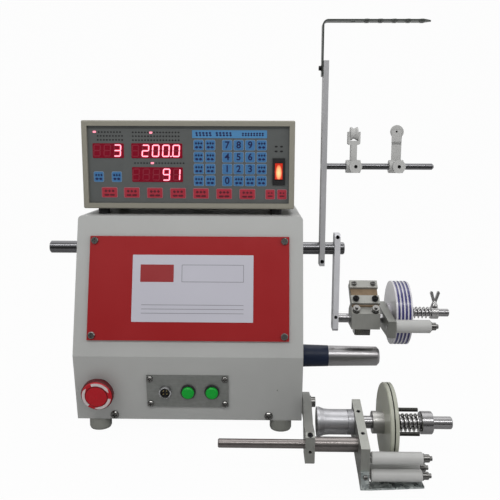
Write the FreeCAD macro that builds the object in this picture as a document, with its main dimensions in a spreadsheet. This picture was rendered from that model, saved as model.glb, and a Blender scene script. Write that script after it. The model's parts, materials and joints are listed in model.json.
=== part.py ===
import FreeCAD, Part
import math
import os
from types import SimpleNamespace

import Sketcher
from FreeCAD import Placement, Rotation, Vector

# Bench coil winding machine, in millimetres.
# X runs along the spindle (positive towards its nose), Y runs to the back, Z is up.
# The origin lies on the table, in the middle of the four feet. Distances to the back are
# measured from the fold across the cabinet's front.

# ---------------------------------------------------------------- driving dimensions
# name, value, what it is
SIZES = [
    # cabinet
    ("case_width", 287, "cabinet width"),
    ("case_depth", 300, "from the front fold to the rear edge of the shell"),
    ("case_top", 274, "height of the top face"),
    ("case_bottom", 16, "height of the lower edge, equal to the feet"),
    ("fold_height", 103, "height of the fold across the front"),
    ("top_setback", 48, "how far the upper front slope leans back at the top"),
    ("bottom_setback", 12, "how far the lower front slope leans back at the bottom"),
    ("sheet", 2, "sheet metal thickness of the cabinet"),
    ("corner_round", 5, "radius of the long upper edges"),
    ("base_thick", 6, "base plate thickness"),
    ("foot_dia", 28, "rubber foot diameter"),
    ("foot_round", 3.5, "radius under the rubber foot"),
    ("foot_side", 26.5, "foot centre from the cabinet's side"),
    ("foot_front", 24, "front foot centre behind the fold"),
    ("foot_rear", 276, "rear foot centre behind the fold"),
    # front of the cabinet
    ("red_side", 17.5, "red panel from the cabinet's side"),
    ("red_height", 131, "red panel height along the slope"),
    ("red_gap", 20, "from the fold to the red panel's lower edge"),
    ("panel_thick", 3, "red panel thickness"),
    ("plate_width", 103.2, "switch plate width"),
    ("plate_height", 43.7, "switch plate height"),
    ("plate_drop", 46.5, "fold to the middle of the switch plate, down the slope"),
    ("plate_x", -1, "middle of the switch plate"),
    ("plate_thick", 2, "switch plate thickness"),
    ("screw_inset", 6, "red panel screws from the panel's edges"),
    ("plate_inset", 4.6, "switch plate screws from the plate's edges"),
    ("cap_dia", 15.4, "push button cap diameter"),
    ("bezel_dia", 18.8, "push button bezel diameter"),
    ("start_x", -0.3, "start button"),
    ("reset_x", 29.8, "reset button"),
    ("socket_x", -29, "pedal socket"),
    ("socket_dia", 15.6, "pedal socket ring"),
    ("button_fit", 0.2, "gap round a push button cap"),
    ("stop_x", 31.5, "emergency stop"),
    ("stop_drop", 45, "fold to the emergency stop, down the slope"),
    ("stop_dia", 40, "emergency stop head"),
    ("stop_stem", 11.6, "emergency stop stem"),
    ("edge_screw_left", 48.2, "left casing screw"),
    ("edge_screw_right", -42.2, "right casing screw"),
    ("edge_screw_drop", 81.2, "fold to the casing screws, down the slope"),
    # controller
    ("ctrl_width", 272, "controller width"),
    ("ctrl_height", 112, "controller height"),
    ("ctrl_depth", 150, "controller depth"),
    ("ctrl_front", 60, "controller front face behind the fold"),
    ("ctrl_x", -3.3, "middle of the controller"),
    ("ctrl_foot", 8, "controller foot height"),
    ("ctrl_foot_dia", 15, "controller foot diameter"),
    ("ctrl_foot_side", 23, "controller foot from the controller's side"),
    ("ctrl_foot_inset", 16, "controller foot from the controller's front and back"),
    ("frame_width", 7, "width of the controller's front frame"),
    ("frame_recess", 4, "depth of the panel behind the front frame"),
    ("ctrl_wall", 3, "controller wall"),
    ("ctrl_round", 2, "radius of the controller's outer edges"),
    ("power_inset", 20.2, "power switch from the controller's right side"),
    ("power_up", 48, "power switch centre above the controller's underside"),
    ("power_width", 16, "power switch frame width"),
    ("power_tall", 34, "power switch frame height"),
    ("rocker_width", 9.5, "rocker width"),
    ("rocker_tall", 21, "rocker height"),
    ("rocker_pin", 2.4, "rocker pivot pin diameter"),
    ("board_thick", 1.6, "circuit board thickness"),
    ("drive_board_width", 120, "drive board width"),
    ("drive_board_tall", 80, "drive board height"),
    ("drive_board_up", 124, "underside of the drive board above the casing's lower edge"),
    ("board_margin", 12, "logic board from the controller's left side and underside"),
    ("board_clear", 59, "logic board's right edge from the controller's right side"),
    ("board_stand", 8, "how far the logic board stands behind its seat"),
    # axes
    ("shaft_y", 66, "traverse shaft and spindle behind the fold"),
    ("shaft_z", 230.7, "traverse shaft height"),
    ("spindle_z", 84.6, "spindle height"),
    ("running", 0.05, "radial running clearance"),
    ("pad_gap", 0.3, "gap between pieces that move past each other"),
    # spindle and drive
    ("spindle_dia", 20, "spindle shaft inside the cabinet"),
    ("sleeve_root", 30, "spindle sleeve diameter at the cabinet"),
    ("sleeve_tip", 27.9, "spindle sleeve diameter at the nose"),
    ("sleeve_out", 37.5, "how far the sleeve stands out of the cabinet"),
    ("nose_root", 27.4, "nose diameter at the sleeve"),
    ("nose_tip", 25.4, "nose diameter at its end"),
    ("nose_length", 67.8, "nose length"),
    ("nose_chamfer", 3, "chamfer of the nose"),
    ("draw_hole", 10, "diameter of the hole in the nose's end"),
    ("draw_depth", 35, "depth of that hole"),
    ("bearing_dia", 42, "ball bearing outer diameter"),
    ("bearing_width", 12, "ball bearing width"),
    ("frame_plate", 10, "inner frame plate thickness"),
    ("plate_right", -31.5, "left face of the right frame plate"),
    ("plate_middle", -20, "left face of the middle frame plate"),
    ("plate_left", 41.5, "left face of the left frame plate"),
    ("pulley_dia", 60, "spindle pulley diameter"),
    ("motor_pulley_dia", 30, "motor pulley diameter"),
    ("pulley_width", 20, "pulley width"),
    ("belt_thick", 1.6, "belt thickness"),
    ("belt_width", 16, "belt width"),
    ("motor_y", 200, "motor behind the fold"),
    ("motor_dia", 76, "motor diameter"),
    ("motor_length", 112, "motor length"),
    ("motor_shaft", 12, "motor shaft diameter"),
    # traverse drive
    ("screw_dia", 10, "lead screw diameter"),
    ("screw_y", 110, "lead screw behind the fold"),
    ("stepper_size", 42, "stepper motor square"),
    ("stepper_length", 36, "stepper motor length"),
    ("carriage_length", 40, "carriage length"),
    ("carriage_left", -15, "left face of the carriage"),
    ("bush_dia", 24, "traverse bush outer diameter"),
    # traverse shaft and what it carries
    ("shaft_dia", 16, "traverse shaft diameter"),
    ("shaft_left", -42.5, "left end of the traverse shaft"),
    ("shaft_right", 55.5, "right end of the traverse shaft"),
    ("mast_x", 23.1, "left face of the mast"),
    ("mast_thick", 6.5, "mast thickness"),
    ("mast_depth", 20, "mast width, front to back"),
    ("mast_bottom", 208.5, "mast lower end"),
    ("mast_top", 467, "mast upper end"),
    ("strip_thick", 2, "guide strip thickness"),
    ("strip_width", 14, "guide strip width"),
    ("strip_lap", 18, "how far the guide strip reaches down the mast"),
    ("strip_rise", 49.5, "top face of the guide strip above the mast"),
    ("strip_tip", 155, "right end of the guide strip"),
    ("strip_bend", 5, "inner bend radius of the guide strip"),
    ("strip_screw_down", 8.3, "guide strip screw below the mast's end"),
    ("eyelet_first", 75.8, "first eyelet"),
    ("eyelet_pitch", 16.95, "eyelet spacing"),
    ("eyelet_dia", 9, "eyelet flange diameter"),
    ("eyelet_barrel", 7, "eyelet barrel diameter"),
    ("eyelet_hole", 4.5, "eyelet hole"),
    ("cross_dia", 8, "cross rod diameter"),
    ("cross_z", 337, "cross rod height"),
    ("cross_right", 166.5, "right end of the cross rod"),
    ("guide_left_x", 64, "left guide"),
    ("guide_right_x", 118.5, "right guide"),
    ("guide_turn", 75, "how far the right guide's head is turned"),
    ("hub_dia", 16.5, "guide hub diameter"),
    ("hub_length", 18, "guide hub length"),
    ("stem_width", 7.5, "guide stem width"),
    ("fork_width", 15.3, "guide fork width"),
    ("fork_base", 364.3, "underside of the left guide's fork"),
    ("fork_floor", 369.4, "bottom of its slot"),
    ("fork_top", 380.4, "top of its fork"),
    ("fork_depth", 12, "guide stem and fork front to back"),
    ("fork_rise", 2.5, "how much higher the right guide's fork stands"),
    ("wheel_small_dia", 16.5, "guide wheel diameter"),
    ("wheel_small_width", 9.5, "guide wheel width"),
    ("wheel_small_z", 378.2, "guide wheel height"),
    ("pin_dia", 2.5, "guide wheel pin"),
    # upper tensioner
    ("link_x", 42.1, "left face of the upper link"),
    ("upper_thick", 7.2, "upper link thickness"),
    ("upper_depth", 22, "upper link, front to back"),
    ("upper_over", 20, "upper link above the traverse shaft's axis"),
    ("upper_under", 15.5, "upper link below the tension rod's axis"),
    ("upper_screw_up", 16, "upper link's clamp screw above the traverse shaft's axis"),
    ("link_thick", 10, "lower link and wheel arm thickness"),
    ("tension_z", 137, "tension rod height"),
    ("tension_dia", 12, "tension rod diameter"),
    ("wheel_shaft_dia", 10.5, "wheel shaft diameter"),
    ("block_left", 66, "left face of the felt clamp block"),
    ("block_width", 37, "felt clamp block width"),
    ("block_front", 50, "front face of the felt clamp block"),
    ("block_back", 82, "back face of the felt clamp block"),
    ("block_bottom", 126, "underside of the felt clamp block"),
    ("block_top", 147, "top of the felt clamp block"),
    ("ramp_angle", 40, "slope of the felt plate"),
    ("ramp_length", 50, "length of the felt plate"),
    ("ramp_thick", 6, "thickness of the felt plate"),
    ("felt_thick", 3, "felt pad thickness"),
    ("cleat_thick", 4, "thickness of the strips that hold the felt"),
    ("knob_width", 20.5, "clamp knob width"),
    ("knob_height", 8, "clamp knob height"),
    ("knob_stud", 5, "how far the clamp knob's stud goes in"),
    ("arm_x", 109, "left face of the wheel arm"),
    ("arm_front", 28, "front end of the wheel arm"),
    ("arm_back", 108, "back end of the wheel arm"),
    ("wheel_y", 90, "wheel shaft behind the fold"),
    ("wheel_dia", 86, "wire wheel diameter"),
    ("wheel_left", 123.5, "left face of the wire wheel"),
    ("wheel_width", 21.5, "wire wheel width"),
    ("wheel_shaft_end", 203, "right end of the wheel shaft"),
    ("wheel_spring_dia", 16, "outer diameter of the wheel spring"),
    ("wheel_spring_wire", 1.7, "wire of the wheel spring"),
    ("collar_left", 178.9, "left face of the spring collar"),
    ("collar_width", 9, "spring collar width"),
    ("collar_dia", 17, "spring collar diameter"),
    ("wing_height", 30, "top of the wing screw above the shaft"),
    ("roller_y", 38, "guide roller behind the fold"),
    ("roller_z", 134, "guide roller height"),
    ("roller_dia", 17, "guide roller diameter"),
    ("roller_length", 45.5, "guide roller length"),
    ("roller_bolt", 6, "guide roller bolt"),
    # lower tensioner
    ("rod_y", -108, "support rod, in front of the fold"),
    ("rod_z", 43, "support rod height"),
    ("rod_thin", 9.8, "thin part of the support rod"),
    ("rod_thick", 16, "thick part of the support rod"),
    ("rod_left", -98.8, "left end of the support rod"),
    ("lower_link_reach", 14.5, "lower link in front of the support rod's axis"),
    ("lower_link_x", 0.5, "left face of the lower link at the cabinet"),
    ("lower_link_shift", 5.5, "how far the link is cranked inwards at its front end"),
    ("pivot_y", 20, "link bolt behind the fold"),
    ("pivot_z", 38, "link bolt height"),
    ("pivot_dia", 8, "link bolt diameter"),
    ("plate_two_x", 52, "left face of the roller plate"),
    ("plate_two_thick", 9.5, "roller plate thickness"),
    ("brake_y", -75, "brake shaft, in front of the fold"),
    ("brake_z", 54, "brake shaft height"),
    ("brake_dia", 14, "brake shaft diameter"),
    ("brake_end", 162.5, "right end of the brake shaft"),
    ("drum_left", 10.5, "left face of the drum"),
    ("drum_dia", 28, "drum diameter"),
    ("drum_flange", 33, "drum flange diameter"),
    ("disc_dia", 89, "brake disc diameter"),
    ("disc_thick", 4, "brake disc thickness"),
    ("disc_left", 85.5, "left face of the inner brake disc"),
    ("disc_hub_dia", 25, "brake disc hub diameter"),
    ("disc_hub_left", 73, "left face of the inner disc's hub"),
    ("brake_felt", 1.5, "felt between the brake discs"),
    ("brake_spring_dia", 20.4, "outer diameter of the brake spring"),
    ("brake_spring_wire", 2.5, "wire of the brake spring"),
    ("brake_pin", 4.5, "pins that guide the outer disc"),
    ("brake_pin_round", 15.2, "radius of the circle of those pins"),
    ("nut_left", 126.7, "left face of the brake nut"),
    ("nut_width", 13.5, "brake nut width"),
    ("nut_dia", 25.6, "brake nut diameter"),
    ("small_roller_dia", 13, "lower roller diameter"),
    ("small_roller_length", 54, "lower roller length"),
    ("small_roller_bolt", 5, "lower roller bolt"),
    ("upper_roller_y", -128, "upper front roller, in front of the fold"),
    ("upper_roller_z", 38, "upper front roller height"),
    ("middle_roller_y", -114.6, "middle roller, in front of the fold"),
    ("middle_roller_z", 20.6, "middle roller height"),
    ("lower_roller_y", -128, "lower front roller, in front of the fold"),
    ("lower_roller_z", 18.5, "lower front roller height"),
    ("guard_thick", 2, "roller guard sheet"),
    ("guard_right", 118.5, "right end of the roller guard"),
    ("guard_rise", 3, "how much higher the guard's right end is"),
    ("guard_depth", 13, "guard tray, front to back"),
    ("guard_screw_z", 20.5, "guard screw height"),
]


class Dim:
    """A size together with the sheet expression that gives it."""

    def __init__(self, value, text):
        self.value = float(value)
        self.text = text

    def __add__(self, other):
        other = dim(other)
        return Dim(self.value + other.value, f"({self.text} + {other.text})")

    def __sub__(self, other):
        other = dim(other)
        return Dim(self.value - other.value, f"({self.text} - {other.text})")

    def __mul__(self, other):
        other = dim(other)
        return Dim(self.value * other.value, f"({self.text} * {other.text})")

    def __truediv__(self, other):
        other = dim(other)
        return Dim(self.value / other.value, f"({self.text} / {other.text})")

    def __radd__(self, other):
        return dim(other) + self

    def __rsub__(self, other):
        return dim(other) - self

    def __rmul__(self, other):
        return dim(other) * self

    def __neg__(self):
        return Dim(-self.value, f"(-{self.text})")


def dim(number):
    """A plain number as a Dim; a Dim as it is."""
    return number if isinstance(number, Dim) else Dim(number, f"({number:.6g})")


def sine(angle):
    angle = dim(angle)
    return Dim(math.sin(math.radians(angle.value)), f"sin({angle.text})")


def cosine(angle):
    angle = dim(angle)
    return Dim(math.cos(math.radians(angle.value)), f"cos({angle.text})")


def lean(run, rise):
    """The angle from upright, in degrees, of a face that goes back by run over a height of rise."""
    angle = math.degrees(math.atan(run.value / rise.value))
    return Dim(angle, f"(atan({run.text} / {rise.text}) / 1deg)")


# ---------------------------------------------------------------- document and sheet
doc = FreeCAD.newDocument("coil_winder")
sheet = doc.addObject("Spreadsheet::Sheet", "Sizes")
for row, (alias, value, meaning) in enumerate(SIZES, start=1):
    sheet.set(f"A{row}", meaning)
    sheet.set(f"B{row}", f"{value}")
    sheet.setAlias(f"B{row}", alias)
doc.recompute()
s = SimpleNamespace(**{alias: Dim(value, f"Sizes.{alias}") for alias, value, _ in SIZES})

# the sheet gives these places along X as distances from one of the cabinet's side walls
FROM_RIGHT_WALL = ("plate_right", "edge_screw_right", "shaft_right", "mast_x", "strip_tip", "eyelet_first",
                   "cross_right", "guide_left_x", "guide_right_x", "link_x", "block_left", "arm_x", "wheel_left",
                   "wheel_shaft_end", "collar_left", "rod_left", "lower_link_x", "plate_two_x", "brake_end",
                   "drum_left", "disc_left", "disc_hub_left", "nut_left", "guard_right")
FROM_LEFT_WALL = ("plate_left", "edge_screw_left", "stop_x", "shaft_left")
half = s.case_width / 2
for alias in FROM_RIGHT_WALL:
    setattr(s, alias, half + getattr(s, alias))
for alias in FROM_LEFT_WALL:
    setattr(s, alias, getattr(s, alias) - half)
red_width = s.case_width - 2 * s.red_side

X_AXIS, Y_AXIS, Z_AXIS = Vector(1, 0, 0), Vector(0, 1, 0), Vector(0, 0, 1)
nodes = {}
feet_middle = (s.foot_front + s.foot_rear) / 2


# ---------------------------------------------------------------- helpers
def bind(obj, path, size):
    """Tie one property of an object to its size in the sheet."""
    obj.setExpression(path, dim(size).text)


def place(obj, at=(0, 0, 0), turn=None):
    """Put an object at a point, turned about one axis by an angle in degrees."""
    at = [dim(at[0]), dim(at[1]) - feet_middle, dim(at[2])]
    axis, angle = turn or (Z_AXIS, dim(0))
    angle = dim(angle)
    obj.Placement = Placement(Vector(*[value.value for value in at]), Rotation(axis, angle.value))
    for letter, value in zip("xyz", at):
        bind(obj, f"Placement.Base.{letter}", value)
    if turn:
        bind(obj, "Placement.Rotation.Angle", angle)
    return obj


def box(name, size, at, turn=None):
    """A block from its corner."""
    obj = doc.addObject("Part::Box", name)
    for side, value in zip(("Length", "Width", "Height"), size):
        bind(obj, side, value)
    return place(obj, at, turn)


ALONG_X = (Y_AXIS, 90)
ALONG_Y = (X_AXIS, -90)


def rod(name, diameter, length, at, turn=ALONG_X):
    """A round bar that starts at a point; it runs along X unless it is turned."""
    obj = doc.addObject("Part::Cylinder", name)
    bind(obj, "Radius", dim(diameter) / 2)
    bind(obj, "Height", length)
    return place(obj, at, turn)


def cut(name, base, *tools):
    obj = doc.addObject("Part::Cut", name)
    obj.Base = base
    obj.Tool = tools[0] if len(tools) == 1 else fuse(name + "_tools", *tools)
    return obj


def fuse(name, *shapes):
    obj = doc.addObject("Part::MultiFuse", name)
    obj.Shapes = list(shapes)
    return obj


def common(name, *shapes):
    obj = doc.addObject("Part::MultiCommon", name)
    obj.Shapes = list(shapes)
    return obj


def group(name, *shapes):
    """Separate solids that share one node."""
    obj = doc.addObject("Part::Compound", name)
    obj.Links = list(shapes)
    return obj


def plane_of(body, role):
    return next(item for item in body.Origin.OriginFeatures if item.Role == role)


def new_sketch(body, name, role, offset=0):
    sketch = body.newObject("Sketcher::SketchObject", name)
    sketch.AttachmentSupport = [(plane_of(body, role), "")]
    sketch.MapMode = "FlatFace"
    bind(sketch, "AttachmentOffset.Base.z", offset)
    return sketch


def pin_point(sketch, edge, corner, point, label):
    """Hold one sketch point at its own two coordinates."""
    for kind, letter, value in (("DistanceX", "x", point[0]), ("DistanceY", "y", point[1])):
        value = dim(value)
        index = sketch.addConstraint(Sketcher.Constraint(kind, -1, 1, edge, corner, value.value))
        sketch.renameConstraint(index, f"{letter}{label}")
        bind(sketch, f"Constraints.{letter}{label}", value)


def polygon(body, name, role, points, offset=0):
    """A closed outline whose every corner is tied to the sheet."""
    sketch = new_sketch(body, name, role, offset)
    points = [(dim(a), dim(b)) for a, b in points]
    corners = [Vector(a.value, b.value, 0) for a, b in points]
    count = len(points)
    for i in range(count):
        sketch.addGeometry(Part.LineSegment(corners[i], corners[(i + 1) % count]), False)
    for i in range(count):
        sketch.addConstraint(Sketcher.Constraint("Coincident", i, 2, (i + 1) % count, 1))
        pin_point(sketch, i, 1, points[i], i)
    return sketch


def prism(name, role, points, length, at=(0, 0, 0), turn=None, offset=0, both_ways=False):
    """An outline on one of the body's planes, padded by a length."""
    body = doc.addObject("PartDesign::Body", name)
    pad = body.newObject("PartDesign::Pad", name + "_pad")
    pad.Profile = polygon(body, name + "_outline", role, points, offset)
    bind(pad, "Length", length)
    pad.Midplane = both_ways
    return place(body, at, turn)


def side_plate(name, points, left, thickness):
    """A plate that stands across X: its outline is given as (Y, Z) points."""
    return prism(name, "YZ_Plane", points, thickness, at=(left, 0, 0))


def turned(name, points, at, axis="x", turn=None):
    """A turned piece from its half outline, given as (along the axis, radius) points."""
    body = doc.addObject("PartDesign::Body", name)
    revolution = body.newObject("PartDesign::Revolution", name + "_turned")
    if axis == "z":
        points = [(radius, along) for along, radius in points]
    role, line = ("XY_Plane", "H_Axis") if axis == "x" else ("XZ_Plane", "V_Axis")
    sketch = polygon(body, name + "_outline", role, points)
    revolution.Profile = sketch
    revolution.ReferenceAxis = (sketch, [line])
    revolution.Angle = 360
    return place(body, at, turn)


def tube(name, outer, bore, length, at, turn=ALONG_X):
    return cut(name, rod(name + "_outer", outer, length, at, turn),
               rod(name + "_bore", bore, length, at, turn))


def round_edges(body, radius, chosen):
    """Fillet the body's edges that a test picks."""
    doc.recompute()
    solid = body.Tip
    names = [f"Edge{i}" for i, edge in enumerate(solid.Shape.Edges, start=1) if chosen(edge)]
    fillet = body.newObject("PartDesign::Fillet", body.Name + "_fillet")
    fillet.Base = (solid, names)
    bind(fillet, "Radius", radius)
    return body


def node(name, obj):
    """Register a finished sub-part under the name of its file."""
    obj.Label = name
    nodes[name] = obj
    return obj


def screw(name, head, height, shank, length, at, turn):
    """A round-head screw along its own Z: the head above the point, the shank below it."""
    soft = height / 3
    points = [(-dim(length), 0), (-dim(length), dim(shank) / 2), (0, dim(shank) / 2),
              (0, dim(head) / 2), (dim(height) - soft, dim(head) / 2),
              (height, dim(head) / 2 - soft), (height, 0)]
    body = turned(name, points, at, "z", turn)
    arm, wide = dim(head) * 0.3, dim(head) * 0.07
    cross = [(arm, -wide), (arm, wide), (wide, wide), (wide, arm), (-wide, arm), (-wide, wide), (-arm, wide),
             (-arm, -wide), (-wide, -wide), (-wide, -arm), (wide, -arm), (wide, -wide)]
    pocket = body.newObject("PartDesign::Pocket", name + "_recess")
    pocket.Profile = polygon(body, name + "_cross", "XY_Plane", cross, height)
    bind(pocket, "Length", dim(height) * 0.75)
    return body


# ---------------------------------------------------------------- the two front slopes
upper_lean = lean(s.top_setback, s.case_top - s.fold_height)
lower_lean = lean(s.bottom_setback, s.fold_height - s.case_bottom)
UPPER = (X_AXIS, 90 - upper_lean)
LOWER = (X_AXIS, 90 + lower_lean)


def on_upper(x, up, out):
    """A point on the upper slope: up from the fold, out from the sheet."""
    return (x, up * sine(upper_lean) - out * cosine(upper_lean),
            s.fold_height + up * cosine(upper_lean) + out * sine(upper_lean))


def on_lower(x, down, out):
    """A point on the lower slope: down from the fold, out from the sheet."""
    return (x, down * sine(lower_lean) - out * cosine(lower_lean),
            s.fold_height - down * cosine(lower_lean) - out * sine(lower_lean))


button_hole = s.bezel_dia - 1.8
socket_hole = s.socket_dia - 1.6
stop_hole = dim(22)
panel_shank = dim(3)
edge_shank = dim(4)
small = 1

stop_at = on_lower(s.stop_x, s.stop_drop, 0)
buttons = {"start": s.start_x, "reset": s.reset_x}
red_middle = s.red_gap + s.red_height / 2
red_screws = [(side * (red_width / 2 - s.screw_inset),
               red_middle + end * (s.red_height / 2 - s.screw_inset))
              for side in (-1, 1) for end in (-1, 1)]
plate_screws = [(s.plate_x + side * (s.plate_width / 2 - s.plate_inset),
                 s.plate_drop + end * (s.plate_height / 2 - s.plate_inset))
                for side in (-1, 1) for end in (-1, 1)]
edge_screws = [(x, s.edge_screw_drop) for x in (s.edge_screw_left, s.edge_screw_right)]


# ---------------------------------------------------------------- cabinet
cap_depth, cap_out, bezel_out = dim(4), dim(7), dim(3)
stop_travel, stop_collar = dim(4), dim(5)


def casing_shell():
    outline = [(s.bottom_setback, s.case_bottom), (0, s.fold_height), (s.top_setback, s.case_top),
               (s.case_depth, s.case_top), (s.case_depth, s.case_bottom)]
    shell = prism("shell_outside", "YZ_Plane", outline, s.case_width, both_ways=True)

    def long_edge(edge):
        spread = edge.BoundBox
        across = max(spread.XLength, spread.ZLength)
        return across < small and spread.YLength > s.case_depth.value / 2 and spread.ZMin > s.fold_height.value
    round_edges(shell, s.corner_round, long_edge)
    wall_up = s.sheet / cosine(upper_lean)
    wall_low = s.sheet / cosine(lower_lean)
    inside = [(s.bottom_setback + wall_low - s.sheet * sine(lower_lean), s.case_bottom - s.sheet),
              (wall_low, s.fold_height),
              (s.top_setback + wall_up - s.sheet * s.top_setback / (s.case_top - s.fold_height),
               s.case_top - s.sheet),
              (s.case_depth + s.sheet, s.case_top - s.sheet),
              (s.case_depth + s.sheet, s.case_bottom - s.sheet)]
    cavity = prism("shell_inside", "YZ_Plane", inside, s.case_width - 2 * s.sheet, both_ways=True)
    holes = [rod("hole_traverse", s.shaft_dia + 1.5, s.case_width + 2, (-half - 1, s.shaft_y, s.shaft_z)),
             rod("hole_spindle", s.sleeve_root + 2, 20, (half - 10, s.shaft_y, s.spindle_z)),
             rod("hole_pivot", s.pivot_dia, 10, (half - 5, s.pivot_y, s.pivot_z)),
             rod("hole_stop", stop_hole, 2 * s.sheet + 4, on_lower(s.stop_x, s.stop_drop, -s.sheet - 2),
                 LOWER),
             rod("hole_socket", socket_hole, 2 * s.sheet + 4,
                 on_lower(s.socket_x, s.plate_drop, -s.sheet - 2), LOWER)]
    for name, x in buttons.items():
        holes.append(rod(f"hole_{name}", button_hole, 2 * s.sheet + 4,
                         on_lower(x, s.plate_drop, -s.sheet - 2), LOWER))
    holes.append(rod("hole_small", 1.6, 2 * s.sheet + 4, on_lower(-s.stop_x, s.stop_drop, -s.sheet - 2),
                     LOWER))
    for i, (x, up) in enumerate(red_screws):
        holes.append(rod(f"hole_red_{i}", panel_shank, s.sheet * 3, on_upper(x, up, -2 * s.sheet), UPPER))
    for i, (x, down) in enumerate(plate_screws):
        holes.append(rod(f"hole_plate_{i}", panel_shank, s.sheet * 3, on_lower(x, down, -2 * s.sheet),
                         LOWER))
    for i, (x, down) in enumerate(edge_screws):
        holes.append(rod(f"hole_edge_{i}", edge_shank, s.sheet * 3, on_lower(x, down, -2 * s.sheet), LOWER))
    node("casing_shell", cut("shell_cut", shell, cavity, *holes))


foot_spots = [(side * (half - s.foot_side), y) for side in (-1, 1) for y in (s.foot_front, s.foot_rear)]
ctrl_middle_y = s.ctrl_front + s.ctrl_depth / 2
ctrl_left = s.ctrl_x - s.ctrl_width / 2
ctrl_bottom = s.case_top + s.ctrl_foot
panel_front = s.ctrl_front + s.frame_recess
panel_back = panel_front + 3
ctrl_foot_spots = [(s.ctrl_x + side * (s.ctrl_width / 2 - s.ctrl_foot_side),
                    ctrl_middle_y + end * (s.ctrl_depth / 2 - s.ctrl_foot_inset))
                   for side in (-1, 1) for end in (-1, 1)]
foot_screw = dim(5)
foot_sink = dim(6)


def chassis():
    """The base plate with the rear panel welded to it."""
    front = s.bottom_setback + 4
    inner_width = s.case_width - 2 * s.sheet
    plate = box("base_block", (inner_width, s.case_depth - front, s.base_thick),
                (-half + s.sheet, front, s.case_bottom))
    panel = box("rear_block", (s.case_width, s.sheet, s.case_top - s.case_bottom),
                (-half, s.case_depth, s.case_bottom))
    rail = box("rear_rail", (inner_width, 8, 16), (-half + s.sheet, s.case_depth - 8,
                                                   s.case_top - s.sheet - 16))
    holes = [rod(f"base_hole_{i}", foot_screw, s.base_thick, (x, y, s.case_bottom), (X_AXIS, 0))
             for i, (x, y) in enumerate(foot_spots)]
    inlet = box("inlet_hole", (30, s.sheet + 2, 24), (-110, s.case_depth - 1, 40))
    vents = [box(f"vent_{i}", (60, s.sheet + 2, 3), (20, s.case_depth - 1, 60 + i * 9)) for i in range(7)]
    node("chassis", cut("chassis_cut", fuse("chassis_joined", plate, panel, rail), inlet, *holes, *vents))


def rubber_feet():
    feet = []
    for i, (x, y) in enumerate(foot_spots):
        radius = s.foot_dia / 2
        points = [(0, foot_screw), (0, radius - s.foot_round),
                  (s.foot_round * 0.3, radius - s.foot_round * 0.3),
                  (s.foot_round, radius), (s.case_bottom, radius), (s.case_bottom, foot_screw / 2),
                  (foot_sink, foot_screw / 2), (foot_sink, foot_screw)]
        feet.append(turned(f"foot_{i}", points, (x, y, 0), "z"))
    for i, (x, y) in enumerate(ctrl_foot_spots):
        feet.append(rod(f"ctrl_foot_{i}", s.ctrl_foot_dia, s.ctrl_foot, (x, y, s.case_top), (X_AXIS, 0)))
    node("rubber_feet", group("feet", *feet))


def red_panel():
    block = box("red_block", (red_width, s.red_height, s.panel_thick),
                on_upper(-red_width / 2, s.red_gap, 0), UPPER)
    holes = [rod(f"red_hole_{i}", panel_shank, s.panel_thick, on_upper(x, up, 0), UPPER)
             for i, (x, up) in enumerate(red_screws)]
    node("red_panel", cut("red_cut", block, *holes))


def switch_plate():
    block = box("switch_block", (s.plate_width, s.plate_height, s.plate_thick),
                on_lower(s.plate_x - s.plate_width / 2, s.plate_drop + s.plate_height / 2, 0), LOWER)
    holes = [rod(f"switch_hole_{i}", panel_shank, s.plate_thick, on_lower(x, down, 0), LOWER)
             for i, (x, down) in enumerate(plate_screws)]
    holes.append(rod("switch_socket", socket_hole, s.plate_thick, on_lower(s.socket_x, s.plate_drop, 0),
                     LOWER))
    for name, x in buttons.items():
        holes.append(rod(f"switch_{name}", button_hole, s.plate_thick, on_lower(x, s.plate_drop, 0), LOWER))
    node("switch_plate", cut("switch_cut", block, *holes))


def electrical_fittings():
    """The pedal socket, the mains inlet, and the contact blocks with their bezels."""
    ring, recess, depth = s.socket_dia / 2, socket_hole / 2 - 1, dim(18)
    points = [(-depth, 0), (-depth, socket_hole / 2), (s.plate_thick, socket_hole / 2),
              (s.plate_thick, ring),
              (s.plate_thick + 4, ring), (s.plate_thick + 4, recess), (s.plate_thick, recess),
              (s.plate_thick, 0)]
    pedal = turned("pedal_socket", points, on_lower(s.socket_x, s.plate_drop, 0), "z", LOWER)
    body = box("inlet_body", (30, 22, 24), (-110, s.case_depth - 20, 40))
    flange = box("inlet_flange", (40, 3, 32), (-115, s.case_depth + s.sheet, 36))
    mouth = box("inlet_mouth", (24, 16, 18), (-107, s.case_depth - 8, 43))
    parts = [pedal, cut("inlet", fuse("inlet_joined", body, flange), mouth)]
    bore, floor, depth = s.cap_dia / 2 + s.button_fit, dim(9), dim(15)
    top = s.plate_thick + bezel_out
    points = [(-depth, 0), (-depth, button_hole / 2), (s.plate_thick, button_hole / 2),
              (s.plate_thick, s.bezel_dia / 2), (top, s.bezel_dia / 2), (top, bore), (-floor, bore),
              (-floor, 0)]
    for name, x in buttons.items():
        parts.append(turned(f"{name}_housing", points, on_lower(x, s.plate_drop, 0), "z", LOWER))
    bore, floor, depth = s.stop_stem / 2 + s.button_fit, dim(16), dim(27)
    points = [(-depth, 0), (-depth, stop_hole / 2), (0, stop_hole / 2), (0, 14), (stop_collar, 12.5),
              (stop_collar, bore), (-floor, bore), (-floor, 0)]
    parts.append(turned("stop_housing", points, stop_at, "z", LOWER))
    node("electrical_fittings", group("fittings", *parts))


def push_buttons():
    for name, x in buttons.items():
        radius, edge = s.cap_dia / 2, dim(1)
        top = s.plate_thick + cap_out - edge
        points = [(-cap_depth, 0), (-cap_depth, radius), (top - edge, radius), (top, radius - edge),
                  (top + edge / 4, radius / 2), (top + edge / 3, 0)]
        node(f"{name}_button", turned(f"{name}_cap", points, on_lower(x, s.plate_drop, 0), "z", LOWER))


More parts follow.
